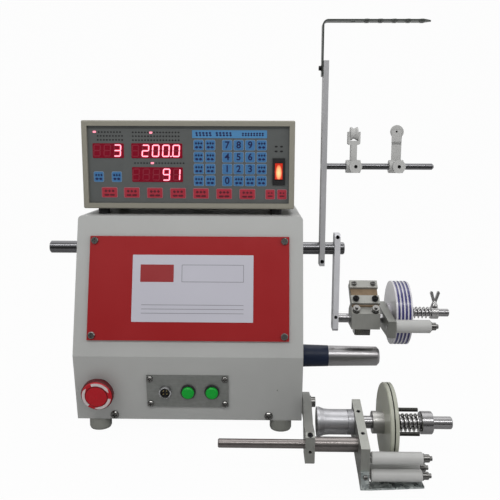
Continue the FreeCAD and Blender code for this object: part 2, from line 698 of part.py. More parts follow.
def stop_head():
    radius, start = s.stop_dia / 2, stop_collar + stop_travel + 0.5
    face = start + 10
    points = [(-10, 0), (-10, s.stop_stem / 2), (start, s.stop_stem / 2), (start, radius - 2),
              (start + 1.5, radius),
              (face - 3, radius), (face, radius - 2.6), (face + 0.2, radius - 6), (face + 0.8, radius - 6.3),
              (face + 1.1, 0)]
    node("stop_head", turned("stop_mushroom", points, stop_at, "z", LOWER))


def inner_frame():
    """Three upright plates on the base plate: they carry the spindle, the motors and the traverse."""
    floor, top, low_top = s.case_bottom + s.base_thick, s.shaft_z + 24, s.spindle_z + 46
    front, upper_front, back = s.shaft_y - 32, s.shaft_y - 18, s.screw_y + 30
    tall = [(front, floor), (front, low_top), (upper_front, s.shaft_z - 30), (upper_front, top), (back, top),
            (back, floor)]
    short = [(front, floor), (front, low_top), (s.motor_y + s.motor_dia / 2 + 8, low_top),
             (s.motor_y + s.motor_dia / 2 + 8, floor)]
    screw_hole = s.screw_dia + 2 * s.running
    right = cut("right_cut", side_plate("right_upright", tall, s.plate_right, s.frame_plate),
                rod("right_bearing", s.bearing_dia, s.frame_plate, (s.plate_right, s.shaft_y, s.spindle_z)),
                rod("right_bush", s.bush_dia, s.frame_plate, (s.plate_right, s.shaft_y, s.shaft_z)),
                rod("right_screw", screw_hole, s.frame_plate, (s.plate_right, s.screw_y, s.shaft_z)))
    left = cut("left_cut", side_plate("left_upright", tall, s.plate_left, s.frame_plate),
               rod("left_bush", s.bush_dia, s.frame_plate, (s.plate_left, s.shaft_y, s.shaft_z)),
               rod("left_screw", screw_hole, s.frame_plate, (s.plate_left, s.screw_y, s.shaft_z)))
    middle = cut("middle_cut", side_plate("middle_upright", short, s.plate_middle, s.frame_plate),
                 rod("middle_bearing", s.bearing_dia, s.frame_plate,
                     (s.plate_middle, s.shaft_y, s.spindle_z)),
                 rod("middle_shaft", s.motor_shaft + 8, s.frame_plate,
                     (s.plate_middle, s.motor_y, s.spindle_z)))
    node("inner_frame", group("frame_plates", right, left, middle))


def bearings():
    parts = []
    for name, left in (("right", s.plate_right), ("middle", s.plate_middle)):
        start = left + s.frame_plate / 2 - s.bearing_width / 2
        parts.append(tube(f"bearing_{name}", s.bearing_dia, s.spindle_dia + 2 * s.running, s.bearing_width,
                          (start, s.shaft_y, s.spindle_z)))
    for name, left in (("right", s.plate_right), ("left", s.plate_left)):
        parts.append(tube(f"bush_{name}", s.bush_dia, s.shaft_dia + 2 * s.running, s.frame_plate + 8,
                          (left - 4, s.shaft_y, s.shaft_z)))
    node("bearings", group("bearing_set", *parts))


# ---------------------------------------------------------------- spindle and its drive
pulley_left = s.plate_middle - s.pulley_width - 6
nose_start = half + s.sleeve_out


def spindle():
    left = pulley_left - 3
    end = nose_start + s.nose_length
    points = [(left, 0), (left, s.spindle_dia / 2), (nose_start, s.spindle_dia / 2),
              (nose_start, s.nose_root / 2),
              (end - s.nose_chamfer, s.nose_tip / 2), (end, s.nose_tip / 2 - s.nose_chamfer), (end, 0)]
    draw = rod("spindle_draw", s.draw_hole, s.draw_depth, (end - s.draw_depth, s.shaft_y, s.spindle_z))
    node("spindle", cut("spindle_cut", turned("spindle_bar", points, (0, s.shaft_y, s.spindle_z)), draw))
    start, bore = s.plate_right + s.frame_plate + 2, s.spindle_dia / 2
    points = [(start, bore), (start, s.sleeve_root / 2), (half, s.sleeve_root / 2),
              (nose_start - 0.5, s.sleeve_tip / 2),
              (nose_start, s.nose_root / 2), (nose_start, bore)]
    node("spindle_sleeve", turned("sleeve_bar", points, (0, s.shaft_y, s.spindle_z)))


def pulley_outline(diameter, bore):
    """Two flanges and the belt's seat between them."""
    flange, seat, wide = dim(1.5), diameter / 2, s.pulley_width
    return [(0, bore), (0, seat + 3), (flange, seat + 3), (flange, seat), (wide - flange, seat),
            (wide - flange, seat + 3), (wide, seat + 3), (wide, bore)]


def drive_pulleys():
    points = pulley_outline(s.pulley_dia, s.spindle_dia / 2)
    node("spindle_pulley", turned("large_pulley", points, (pulley_left, s.shaft_y, s.spindle_z)))
    points = pulley_outline(s.motor_pulley_dia, s.motor_shaft / 2)
    wheel = turned("small_pulley", points, (pulley_left, s.motor_y, s.spindle_z))
    shaft = rod("motor_shaft_bar", s.motor_shaft, s.plate_middle + s.frame_plate - pulley_left + 30,
                (pulley_left, s.motor_y, s.spindle_z))
    node("motor_pulley", fuse("motor_rotor", wheel, shaft))


def drive_belt():
    """The belt's loop from the two pulleys and the distance between them."""
    gap = s.motor_y.value - s.shaft_y.value

    def loop(extra):
        big = s.pulley_dia.value / 2 + extra
        little = s.motor_pulley_dia.value / 2 + extra
        slope = math.acos((big - little) / gap)
        cs, sn = math.cos(slope), math.sin(slope)
        big_top, big_low = Vector(0, big * cs, big * sn), Vector(0, big * cs, -big * sn)
        small_top, small_low = Vector(0, gap + little * cs, little * sn), Vector(0, gap + little * cs,
                                                                                 -little * sn)
        edges = [Part.Arc(big_top, Vector(0, -big, 0), big_low).toShape(),
                 Part.LineSegment(big_low, small_low).toShape(),
                 Part.Arc(small_low, Vector(0, gap + little, 0), small_top).toShape(),
                 Part.LineSegment(small_top, big_top).toShape()]
        return Part.Face(Part.Wire(edges))
    clear = s.pad_gap.value
    ring = loop(clear + s.belt_thick.value).cut(loop(clear))
    belt = doc.addObject("Part::Feature", "belt_loop")
    belt.Shape = ring.extrude(Vector(s.belt_width.value, 0, 0))
    place(belt, (pulley_left + (s.pulley_width - s.belt_width) / 2, s.shaft_y, s.spindle_z))
    node("drive_belt", belt)


def motors():
    start = s.plate_middle + s.frame_plate
    body = rod("motor_can", s.motor_dia, s.motor_length, (start, s.motor_y, s.spindle_z))
    bore = rod("motor_bore", s.motor_shaft + 2 * s.running, 34, (start, s.motor_y, s.spindle_z))
    saddle_top = s.spindle_z - s.motor_dia / 2 + 6
    saddle = box("motor_saddle", (s.motor_length - 40, 50, saddle_top - s.case_bottom - s.base_thick),
                 (start + 20, s.motor_y - 25, s.case_bottom + s.base_thick))
    node("drive_motor", cut("motor_cut", fuse("motor_joined", body, saddle), bore))
    side = s.stepper_size
    can = box("stepper_can", (s.stepper_length, side, side),
              (s.plate_left - s.stepper_length, s.screw_y - side / 2, s.shaft_z - side / 2))
    bore = rod("stepper_bore", s.screw_dia + 2 * s.running, s.stepper_length - 8,
               (s.plate_left - s.stepper_length + 8, s.screw_y, s.shaft_z))
    node("traverse_motor", cut("stepper_cut", can, bore))


def lead_screw():
    left = s.plate_left - s.stepper_length + 10
    node("lead_screw", rod("screw_bar", s.screw_dia, s.plate_right + s.frame_plate - left,
                           (left, s.screw_y, s.shaft_z)))


def circuit_boards():
    """The drive board stands on the rear panel, the controller's board behind its keypad."""
    left, low, reach = -s.drive_board_width / 3, s.case_bottom + s.drive_board_up, dim(14)
    drive = box("drive_board", (s.drive_board_width, s.board_thick, s.drive_board_tall),
                (left, s.case_depth - reach, low))
    corners = [(x, z) for x in (left + 6, left + s.drive_board_width - 6)
               for z in (low + 6, low + s.drive_board_tall - 6)]
    posts = [rod(f"board_post_{i}", 6, reach - s.board_thick, (x, s.case_depth - reach + s.board_thick, z),
                 ALONG_Y)
             for i, (x, z) in enumerate(corners)]
    left, low = ctrl_left + s.board_margin, ctrl_bottom + s.board_margin
    wide = s.ctrl_width - s.board_margin - s.board_clear
    tall = s.ctrl_height - s.board_margin * 2
    logic = box("logic_board", (wide, s.board_thick, tall), (left, panel_back + s.board_stand, low))
    corners = [(x, z) for x in (left + 6, left + wide - 6) for z in (low + 6, low + tall - 6)]
    pegs = [rod(f"logic_post_{i}", 6, s.board_stand, (x, panel_back, z), ALONG_Y)
            for i, (x, z) in enumerate(corners)]
    node("circuit_boards", group("boards", fuse("drive_electronics", drive, *posts),
                                 fuse("logic_electronics", logic, *pegs)))


# ---------------------------------------------------------------- controller
power_x = ctrl_left + s.ctrl_width - s.power_inset
power_height = ctrl_bottom + s.power_up


def controller():
    right, top = ctrl_left + s.ctrl_width, ctrl_bottom + s.ctrl_height
    outline = [(ctrl_left, ctrl_bottom), (right, ctrl_bottom), (right, top), (ctrl_left, top)]
    outside = prism("ctrl_outside", "XZ_Plane", outline, s.ctrl_depth, (0, s.ctrl_front + s.ctrl_depth, 0))

    def outer_edge(edge):
        spread = edge.BoundBox
        long_one = spread.YLength > s.ctrl_depth.value / 2
        front_one = spread.YMax < small - s.ctrl_depth.value
        return long_one or front_one
    round_edges(outside, s.ctrl_round, outer_edge)
    mouth = box("ctrl_mouth", (s.ctrl_width - 2 * s.frame_width, panel_back - s.ctrl_front + 1,
                               s.ctrl_height - 2 * s.frame_width),
                (ctrl_left + s.frame_width, s.ctrl_front - 1, ctrl_bottom + s.frame_width))
    inside = box("ctrl_inside", (s.ctrl_width - 2 * s.ctrl_wall,
                                 s.ctrl_depth - s.ctrl_wall - (panel_back - s.ctrl_front),
                                 s.ctrl_height - 2 * s.ctrl_wall),
                 (ctrl_left + s.ctrl_wall, panel_back, ctrl_bottom + s.ctrl_wall))
    node("controller_case", cut("ctrl_cut", outside, mouth, inside))
    face = box("keypad_block", (s.ctrl_width - 2 * s.frame_width, panel_back - panel_front,
                                s.ctrl_height - 2 * s.frame_width),
               (ctrl_left + s.frame_width, panel_front, ctrl_bottom + s.frame_width))
    hole = box("keypad_hole", (s.power_width - 2, 10, s.power_tall - 2),
               (power_x - s.power_width / 2 + 1, panel_front - 2, power_height - s.power_tall / 2 + 1))
    node("keypad_panel", cut("keypad_cut", face, hole))


def power_switch():
    left, low = power_x - s.power_width / 2, power_height - s.power_tall / 2
    flange = box("power_flange", (s.power_width, 2, s.power_tall), (left, panel_front - 2, low))
    barrel = box("power_barrel", (s.power_width - 2, 18, s.power_tall - 2), (left + 1, panel_front, low + 1))
    wide, tall = s.rocker_width + 0.8, s.rocker_tall + 1.2
    mouth = box("power_mouth", (wide, 14, tall), (power_x - wide / 2, panel_front - 3,
                                                  power_height - tall / 2))
    pivot = panel_front + 2
    bore = rod("rocker_bore", s.rocker_pin + 2 * s.running, s.power_width, (left, pivot, power_height))
    node("power_frame", cut("power_cut", fuse("power_joined", flange, barrel), mouth, bore))
    reach, tip = s.rocker_tall / 2, dim(3)
    points = [(-tip, 0.7 - reach), (-tip + 1.5, 0), (-tip - 1, reach), (4, reach - 2), (6, 0),
              (4, 2 - reach)]
    key = prism("rocker", "YZ_Plane", points, s.rocker_width,
                (power_x - s.rocker_width / 2, panel_front, power_height))
    pin_length = s.power_width - 3
    pin = rod("rocker_pivot", s.rocker_pin, pin_length, (power_x - pin_length / 2, pivot, power_height))
    node("power_rocker", fuse("rocker_joined", key, pin))


# ---------------------------------------------------------------- traverse shaft, mast and guides
def traverse():
    length = s.shaft_right - s.shaft_left
    soft = dim(1.2)
    points = [(0, 0), (0, s.shaft_dia / 2 - soft), (soft, s.shaft_dia / 2), (length - soft, s.shaft_dia / 2),
              (length, s.shaft_dia / 2 - soft), (length, 0)]
    node("traverse_shaft", turned("shaft_bar", points, (s.shaft_left, s.shaft_y, s.shaft_z)))
    front, low = s.shaft_y - 15, s.shaft_z - 16
    block = box("carriage_block", (s.carriage_length, s.screw_y + 15 - front, 32),
                (s.carriage_left, front, low))
    node("traverse_carriage", cut("carriage_cut", block,
                                  rod("carriage_shaft", s.shaft_dia, s.carriage_length,
                                      (s.carriage_left, s.shaft_y, s.shaft_z)),
                                  rod("carriage_screw", s.screw_dia + 2 * s.running, s.carriage_length,
                                      (s.carriage_left, s.screw_y, s.shaft_z))))


def radial_screw(name, x, centre, outer, inner, angle, size=4.4):
    """A socket set screw pointing at an axis along X: its hole and itself, a little sunk."""
    angle, size = dim(angle), dim(size)
    reach = dim(outer) - dim(inner)
    y, z = centre
    across, rise = sine(angle), cosine(angle)
    start = (x, y - inner * across, z + inner * rise)
    inside = inner - 2
    hole = rod(name + "_hole", size, reach + 5, (x, y - inside * across, z + inside * rise), (X_AXIS, angle))
    points = [(0, 0), (0, size / 2), (reach - 0.6, size / 2), (reach - 0.6, size / 4),
              (reach - 2.2, size / 4),
              (reach - 2.2, 0)]
    return hole, turned(name, points, start, "z", (X_AXIS, angle))


def spring(name, outer, wire, left, length, turns, centre):
    """A coil spring along X."""
    mean = (outer - wire) / 2
    height = length - wire * 1.05
    helix = doc.addObject("Part::Helix", name + "_path")
    bind(helix, "Radius", mean)
    bind(helix, "Height", height)
    bind(helix, "Pitch", height / turns)
    section = doc.addObject("Part::Circle", name + "_wire")
    bind(section, "Radius", wire / 2)
    section.Placement = Placement(Vector(mean.value, 0, 0), Rotation(X_AXIS, 90))
    bind(section, "Placement.Base.x", mean)
    coil = doc.addObject("Part::Sweep", name)
    coil.Sections = [section]
    coil.Spine = (helix, [])
    coil.Solid = True
    coil.Frenet = True
    return place(coil, (left + wire * 0.525, *centre), ALONG_X)


# ---------------------------------------------------------------- strip and guides on the mast
eyelet_spots = [s.eyelet_first + i * s.eyelet_pitch for i in range(5)]
shaft_axis = (s.shaft_y, s.shaft_z)
cross_axis = (s.shaft_y, s.cross_z)
strip_foot, strip_top = s.mast_top - s.strip_lap, s.mast_top + s.strip_rise
strip_screw_z = s.mast_top - s.strip_screw_down
black, bright = [], []


def mast():
    bar = box("mast_bar", (s.mast_thick, s.mast_depth, s.mast_top - s.mast_bottom),
              (s.mast_x, s.shaft_y - s.mast_depth / 2, s.mast_bottom))
    middle = s.mast_x + s.mast_thick / 2
    front = s.shaft_y - s.mast_depth / 2
    low = s.mast_bottom + 6
    points = [(0, 0), (0, 2.5), (7, 2.5), (7, 1.2), (5, 1.2), (5, 0)]
    black.append(turned("mast_screw", points, (middle, front + 7.5, low), "z", (X_AXIS, 90)))
    dimple = rod("mast_dimple", 5, 8.5, (middle, front + 7.5, low), (X_AXIS, 90))
    node("mast", cut("mast_cut", bar, dimple,
                     rod("mast_shaft", s.shaft_dia, s.mast_thick, (s.mast_x, *shaft_axis)),
                     rod("mast_cross", s.cross_dia, s.mast_thick, (s.mast_x, *cross_axis)),
                     rod("mast_strip", panel_shank, s.mast_thick, (s.mast_x, s.shaft_y, strip_screw_z))))


def guide_strip():
    """A flat strip bent to the right at the top and cut to a point at its tip."""
    outer, under, wide = s.mast_x - s.strip_thick, strip_top - s.strip_thick, s.strip_width / 2
    elbow = [(outer, strip_foot), (outer, strip_top), (s.strip_tip, strip_top), (s.strip_tip, under),
             (s.mast_x, under), (s.mast_x, strip_foot)]
    bent = prism("strip_bent", "XZ_Plane", elbow, s.strip_width, (0, s.shaft_y, 0), both_ways=True)

    def bend_at(x, z):
        def chosen(edge):
            spread = edge.BoundBox
            return spread.YLength > wide.value and abs(spread.XMin - x.value) < 0.01 \
                and abs(spread.ZMin - z.value) < 0.01
        return chosen
    round_edges(bent, s.strip_bend, bend_at(s.mast_x, under))
    round_edges(bent, s.strip_bend + s.strip_thick, bend_at(outer, strip_top))
    plan = [(outer - 1, -wide), (s.strip_tip - s.strip_width * 0.6, -wide), (s.strip_tip, 0),
            (s.strip_tip - s.strip_width * 0.6, wide), (outer - 1, wide)]
    tip = prism("strip_plan", "XY_Plane", plan, strip_top - strip_foot + 2, (0, s.shaft_y, strip_foot - 1))
    holes = [rod(f"strip_hole_{i}", s.eyelet_barrel, 6, (x, s.shaft_y, under - 2), (X_AXIS, 0))
             for i, x in enumerate(eyelet_spots)]
    holes.append(rod("strip_plain_hole", 6, 6, (s.eyelet_first - s.eyelet_pitch, s.shaft_y, under - 2),
                     (X_AXIS, 0)))
    holes.append(rod("strip_screw_hole", panel_shank, 6, (outer - 2, s.shaft_y, strip_screw_z)))
    node("guide_strip", cut("strip_cut", common("strip_shape", bent, tip), *holes))
    lip, flange, barrel, bore = dim(1), s.eyelet_dia / 2, s.eyelet_barrel / 2, s.eyelet_hole / 2
    points = [(-lip, bore + 0.6), (-lip, flange - 0.5), (0, flange), (0, barrel), (s.strip_thick, barrel),
              (s.strip_thick, flange), (s.strip_thick + lip, flange - 0.5),
              (s.strip_thick + lip, bore + 0.6),
              (s.strip_thick, bore), (0, bore)]
    rings = [turned(f"eyelet_{i}", points, (x, s.shaft_y, under), "z") for i, x in enumerate(eyelet_spots)]
    node("guide_eyelets", group("eyelets", *rings))
    points = [(-s.mast_thick, 0), (-s.mast_thick, 1.5), (0, 1.5), (0, 3.6), (0.8, 3.6), (0.8, 2.9),
              (3.4, 2.9),
              (3.4, 1.5), (2, 1.5), (2, 0)]
    points = [(-s.strip_thick + along, radius) for along, radius in points]
    points = [(s.mast_x - s.strip_thick * 2 - along, radius) for along, radius in points]
    black.append(turned("strip_screw", points, (0, s.shaft_y, strip_screw_z)))


def guides():
    """Two plastic arms on the cross rod; each carries a small grooved wheel in its fork."""
    length = s.cross_right - s.mast_x
    points = [(0, 0), (0, s.cross_dia / 2), (length - 2, s.cross_dia / 2), (length, s.cross_dia / 4),
              (length, 0)]
    node("cross_rod", turned("cross_bar", points, (s.mast_x, *cross_axis)))
    arms = []
    for name, x, rise, turn in (("left", s.guide_left_x, dim(0), 0),
                                ("right", s.guide_right_x, s.fork_rise, s.guide_turn)):
        turn = (Z_AXIS, turn)
        stem, prong, slot = s.stem_width / 2, s.fork_width / 2, s.wheel_small_width / 2 + s.pad_gap
        base, floor, top = s.fork_base + rise, s.fork_floor + rise, s.fork_top + rise
        points = [(-stem, s.cross_z), (stem, s.cross_z), (stem, base), (prong - 1.5, base),
                  (prong, base + 1.5), (prong, top),
                  (slot, top),
                  (slot, floor), (-slot, floor), (-slot, top), (-prong, top), (-prong, base + 1.5),
                  (1.5 - prong, base), (-stem, base)]
        fork = prism(f"fork_{name}", "XZ_Plane", points, s.fork_depth, (x, s.shaft_y, 0), turn,
                     both_ways=True)
        hub = rod(f"hub_{name}", s.hub_dia, s.hub_length, (x - s.hub_length / 2, *cross_axis))
        boss = rod(f"boss_{name}", s.hub_dia - 0.5, 15, (x + 1.5, s.shaft_y, s.cross_z), (X_AXIS, 90))
        axle_z = s.wheel_small_z + rise
        pin = [(-prong, 0), (-prong, s.pin_dia / 2), (prong, s.pin_dia / 2), (prong, 0)]
        hole, screw_body = radial_screw(f"guide_screw_{name}", x + 1.5, cross_axis, 15, s.cross_dia / 2, 90)
        bore = rod(f"guide_bore_{name}", s.cross_dia, s.hub_length + 2,
                   (x - s.hub_length / 2 - 1, *cross_axis))
        axle = turned(f"pin_hole_{name}", pin, (x, s.shaft_y, axle_z), turn=turn)
        arms.append(cut(f"guide_{name}", fuse(f"guide_joined_{name}", fork, hub, boss), bore, hole, axle))
        black.append(screw_body)
        bright.append(turned(f"guide_pin_{name}", pin, (x, s.shaft_y, axle_z), turn=turn))
        wide, radius, hole_radius = s.wheel_small_width / 2, s.wheel_small_dia / 2, s.pin_dia / 2 + s.running
        points = [(-wide, hole_radius), (-wide, radius), (-wide + 1.6, radius), (-0.8, radius - 1.6),
                  (0.8, radius - 1.6), (wide - 1.6, radius), (wide, radius), (wide, hole_radius)]
        node(f"guide_wheel_{name}", turned(f"small_wheel_{name}", points, (x, s.shaft_y, axle_z), turn=turn))
    node("guide_arms", group("guide_pair", *arms))


# ---------------------------------------------------------------- upper tensioner
tension_axis = (s.shaft_y, s.tension_z)
wheel_axis = (s.wheel_y, s.tension_z + 2)
roller_axis = (s.roller_y, s.roller_z)
DIAMOND = (X_AXIS, 45)
root_two = 5 / math.sqrt(2)
arm_right = s.arm_x + s.link_thick


def upper_link():
    top, low = s.shaft_z + s.upper_over, s.tension_z - s.upper_under
    bar = box("upper_bar", (s.upper_thick, s.upper_depth, top - low),
              (s.link_x, s.shaft_y - s.upper_depth / 2, low))
    corners = []
    for name, z in (("top", top), ("low", low)):
        for side in (-1, 1):
            y = s.shaft_y + side * s.upper_depth / 2
            corners.append(box(f"upper_corner_{name}_{side + 1}", (s.upper_thick, 5, 5),
                               (s.link_x, y, z - root_two), DIAMOND))
    middle, front = s.link_x + s.upper_thick / 2, s.shaft_y - s.upper_depth / 2
    clamp = rod("clamp_screw_hole", 5, 18, (middle, front + 18, s.shaft_z + s.upper_screw_up), (X_AXIS, 90))
    points = [(0, 0), (0, 2.5), (17, 2.5), (17, 1.4), (14.5, 1.4), (14.5, 0)]
    black.append(turned("link_screw_top", points, (middle, front + 18, s.shaft_z + s.upper_screw_up), "z",
                        (X_AXIS, 90)))
    low_hole, low_screw = radial_screw("link_screw_low", middle, tension_axis, s.upper_depth / 2,
                                       s.tension_dia / 2, 72)
    black.append(low_screw)
    node("upper_link", cut("upper_cut", bar, *corners, clamp, low_hole,
                           rod("upper_bore", s.shaft_dia, s.upper_thick, (s.link_x, *shaft_axis)),
                           rod("upper_low_bore", s.tension_dia, s.upper_thick, (s.link_x, *tension_axis))))
    node("tension_rod", rod("tension_bar", s.tension_dia, arm_right - s.link_x, (s.link_x, *tension_axis)))


RAMP = (X_AXIS, s.ramp_angle)


def on_ramp(x, up, out):
    """A point on the felt plate: up its slope, out from its face."""
    return (x, s.block_front + up * cosine(s.ramp_angle) - out * sine(s.ramp_angle),
            s.block_top + up * sine(s.ramp_angle) + out * cosine(s.ramp_angle))


cleats = {"low": (12, 25), "high": (38, 50)}
nut_up = dim(5)
edge_in = dim(6)


def felt_clamp():
    under = [on_ramp(0, up, -s.ramp_thick)[1:] for up in (s.ramp_length, dim(21))]
    outline = [(s.block_front, s.block_bottom), (s.block_front, s.block_top),
               on_ramp(0, s.ramp_length, 0)[1:],
               *under, (s.block_back, under[1][1] - 10), (s.block_back, s.block_bottom)]
    block = side_plate("clamp_block", outline, s.block_left, s.block_width)
    bar = rod("clamp_bore", s.tension_dia, s.block_width, (s.block_left, *tension_axis))
    knob_at = (s.block_left + 14.5, s.block_front + 10.5, s.block_bottom)
    stud = dim(6)
    knob_hole = rod("knob_hole", stud, s.knob_stud, knob_at, (X_AXIS, 0))
    holes = [bar, knob_hole]
    strips = []
    top = s.felt_thick + s.cleat_thick
    sides = (s.block_left + edge_in, s.block_left + s.block_width - edge_in)
    for name, (start, end) in cleats.items():
        strip = box(f"cleat_{name}", (s.block_width, end - start, s.cleat_thick),
                    on_ramp(s.block_left, dim(start), s.felt_thick), RAMP)
        bores = []
        for i, x in enumerate(sides):
            middle = dim(start + end) / 2
            bores.append(rod(f"cleat_{name}_{i}", panel_shank, top + 5, on_ramp(x, middle, -4), RAMP))
            head = (7, 2.6) if name == "high" else (8.4, 4.5)
            kit = bright if name == "high" else black
            kit.append(screw(f"cleat_screw_{name}_{i}", head[0], head[1], panel_shank, top + 4,
                             on_ramp(x, middle, top), RAMP))
        strips.append(cut(f"strip_{name}", strip, *bores))
        holes.extend(bores)
    for i, x in enumerate(sides):
        holes.append(rod(f"stud_hole_{i}", 4, 6, on_ramp(x, nut_up, -5), RAMP))
        points = [(-5, 0), (-5, 2), (0, 2), (0, 5.3), (1.2, 5.3), (1.2, 4.6), (6.5, 4.6), (6.5, 2), (9, 2),
                  (9, 0)]
        bright.append(turned(f"stud_{i}", points, on_ramp(x, nut_up, 0), "z", RAMP))
    node("felt_clamp", group("clamp_set", cut("clamp_cut", block, *holes), *strips))
    felt = box("felt_block", (s.block_width - 2, s.ramp_length - 10.5, s.felt_thick),
               on_ramp(s.block_left + 1, dim(10.5), 0), RAMP)
    node("felt_pads", cut("felt_cut", felt, *holes[2:6]))
    side, soft = s.knob_width / 2, dim(1.5)
    outline = [(-side, soft - side), (soft - side, -side), (side - soft, -side), (side, soft - side),
               (side, side - soft), (side - soft, side), (soft - side, side), (-side, side - soft)]
    block = prism("knob_block", "XY_Plane", outline, s.knob_height,
                  (knob_at[0], knob_at[1], s.block_bottom - s.knob_height))
    bright.append(fuse("clamp_knob", block, rod("knob_stud", stud, s.knob_stud + 1,
                                                (knob_at[0], knob_at[1], s.block_bottom - 1),
                                                (X_AXIS, 0))))


def wheel_arm():
    low = s.block_bottom - 5
    outline = [(s.arm_front, low), (s.arm_front, s.roller_z + 8.7), (s.arm_back, s.tension_z + 13),
               (s.arm_back, low)]
    bar = side_plate("arm_bar", outline, s.arm_x, s.link_thick)
    node("wheel_arm", cut("arm_cut", bar,
                          rod("arm_rod", s.tension_dia, s.link_thick, (s.arm_x, *tension_axis)),
                          rod("arm_shaft", s.wheel_shaft_dia, s.link_thick, (s.arm_x, *wheel_axis)),
                          rod("arm_roller", s.roller_bolt, s.link_thick, (s.arm_x, *roller_axis))))
    length = s.wheel_shaft_end - s.arm_x
    points = [(0, 0), (0, s.wheel_shaft_dia / 2), (length - 1, s.wheel_shaft_dia / 2),
              (length, s.wheel_shaft_dia / 2 - 1), (length, 0)]
    node("wheel_shaft", turned("wheel_shaft_bar", points, (s.arm_x, *wheel_axis)))


def wire_wheel():
    hub, bore, radius, wide = dim(12), s.wheel_shaft_dia / 2 + 2 * s.running, s.wheel_dia / 2, s.wheel_width
    start = arm_right + s.pad_gap - s.wheel_left
    points = [(start, bore), (start, hub), (0, hub), (0, radius)]
    for i in range(4):
        groove = wide * (0.12 + i * 0.22)
        end = groove + wide * 0.11
        points += [(groove, radius), (groove, radius - 0.8), (end, radius - 0.8), (end, radius)]
    points += [(wide, radius), (wide, radius - 4), (wide - 3, radius - 7), (wide - 3, hub + 2), (wide, hub),
               (wide, bore)]
    node("wire_wheel", turned("wheel_rim", points, (s.wheel_left, *wheel_axis)))
    start = s.wheel_left + s.wheel_width + 1
    node("wheel_spring", spring("wheel_coil", s.wheel_spring_dia, s.wheel_spring_wire, start,
                                s.collar_left - start - s.pad_gap, 6, wheel_axis))
    middle = s.collar_left + s.collar_width / 2
    stud, low = dim(5), wheel_axis[1] + s.wheel_shaft_dia / 2
    shank = rod("wing_shank", stud, 8, (middle, s.wheel_y, low), (X_AXIS, 0))
    seat = wheel_axis[1] + s.collar_dia / 2 - low
    cone = turned("wing_cone", [(seat, 0), (seat, 4.6), (seat + 2, 4.6), (seat + 8, 2), (seat + 8, 0)],
                  (middle, s.wheel_y, low), "z")
    neck, tall = low + seat + 6, wheel_axis[1] + s.wing_height - low - seat - 6
    wings = [(-2.4, 0), (2.4, 0), (6.6, tall - 2.5), (5.2, tall), (3.2, tall - 0.6), (0, 3.6),
             (-3.2, tall - 0.6),
             (-5.2, tall), (-6.6, tall - 2.5)]
    wing = prism("wings", "XZ_Plane", wings, 3.4, (middle, s.wheel_y, neck), both_ways=True)
    ring = cut("collar", rod("collar_ring", s.collar_dia, s.collar_width, (s.collar_left, *wheel_axis)),
               rod("collar_bore", s.wheel_shaft_dia, s.collar_width, (s.collar_left, *wheel_axis)),
               rod("collar_thread", stud, 10, (middle, s.wheel_y, low), (X_AXIS, 0)))
    wing_screw = cut("wing_screw", fuse("wing_joined", shank, cone, wing),
                     rod("wing_seat", s.collar_dia, s.collar_width + 4, (s.collar_left - 2, *wheel_axis)))
    node("spring_collar", group("collar_set", ring, fuse("wing_whole", wing_screw, shank)))


def roller(name, axis_at, left, length, diameter, bolt, end):
    """A plain roller on a shoulder bolt with its washer and nut outside."""
    radius, soft = dim(diameter) / 2, dim(1)
    bore = dim(bolt) / 2 + s.running
    points = [(0, bore), (0, radius - soft), (soft, radius), (dim(length) - soft, radius),
              (length, radius - soft),
              (length, bore)]
    node(name, turned(name + "_tube", points, (left, *axis_at)))
    stop = left + length + s.pad_gap - end
    points = [(0, 0), (0, dim(bolt) / 2), (stop, dim(bolt) / 2), (stop, dim(bolt)), (stop + 1.2, dim(bolt)),
              (stop + 1.2, dim(bolt) * 0.84), (stop + 6.2, dim(bolt) * 0.84), (stop + 7, dim(bolt) * 0.7),
              (stop + 7, dim(bolt) * 0.5), (stop + 9.5, dim(bolt) * 0.5), (stop + 9.5, 0)]
    return turned(name + "_bolt", points, (end, *axis_at))


# ---------------------------------------------------------------- lower tensioner
pivot_axis = (s.pivot_y, s.pivot_z)
rod_axis = (s.rod_y, s.rod_z)
brake_axis = (s.brake_y, s.brake_z)
lower_rollers = {"roller_upper": (s.upper_roller_y, s.upper_roller_z),
                 "roller_middle": (s.middle_roller_y, s.middle_roller_z),
                 "roller_lower": (s.lower_roller_y, s.lower_roller_z)}
plate_two_right = s.plate_two_x + s.plate_two_thick
fixed_bright, fixed_black = [], []


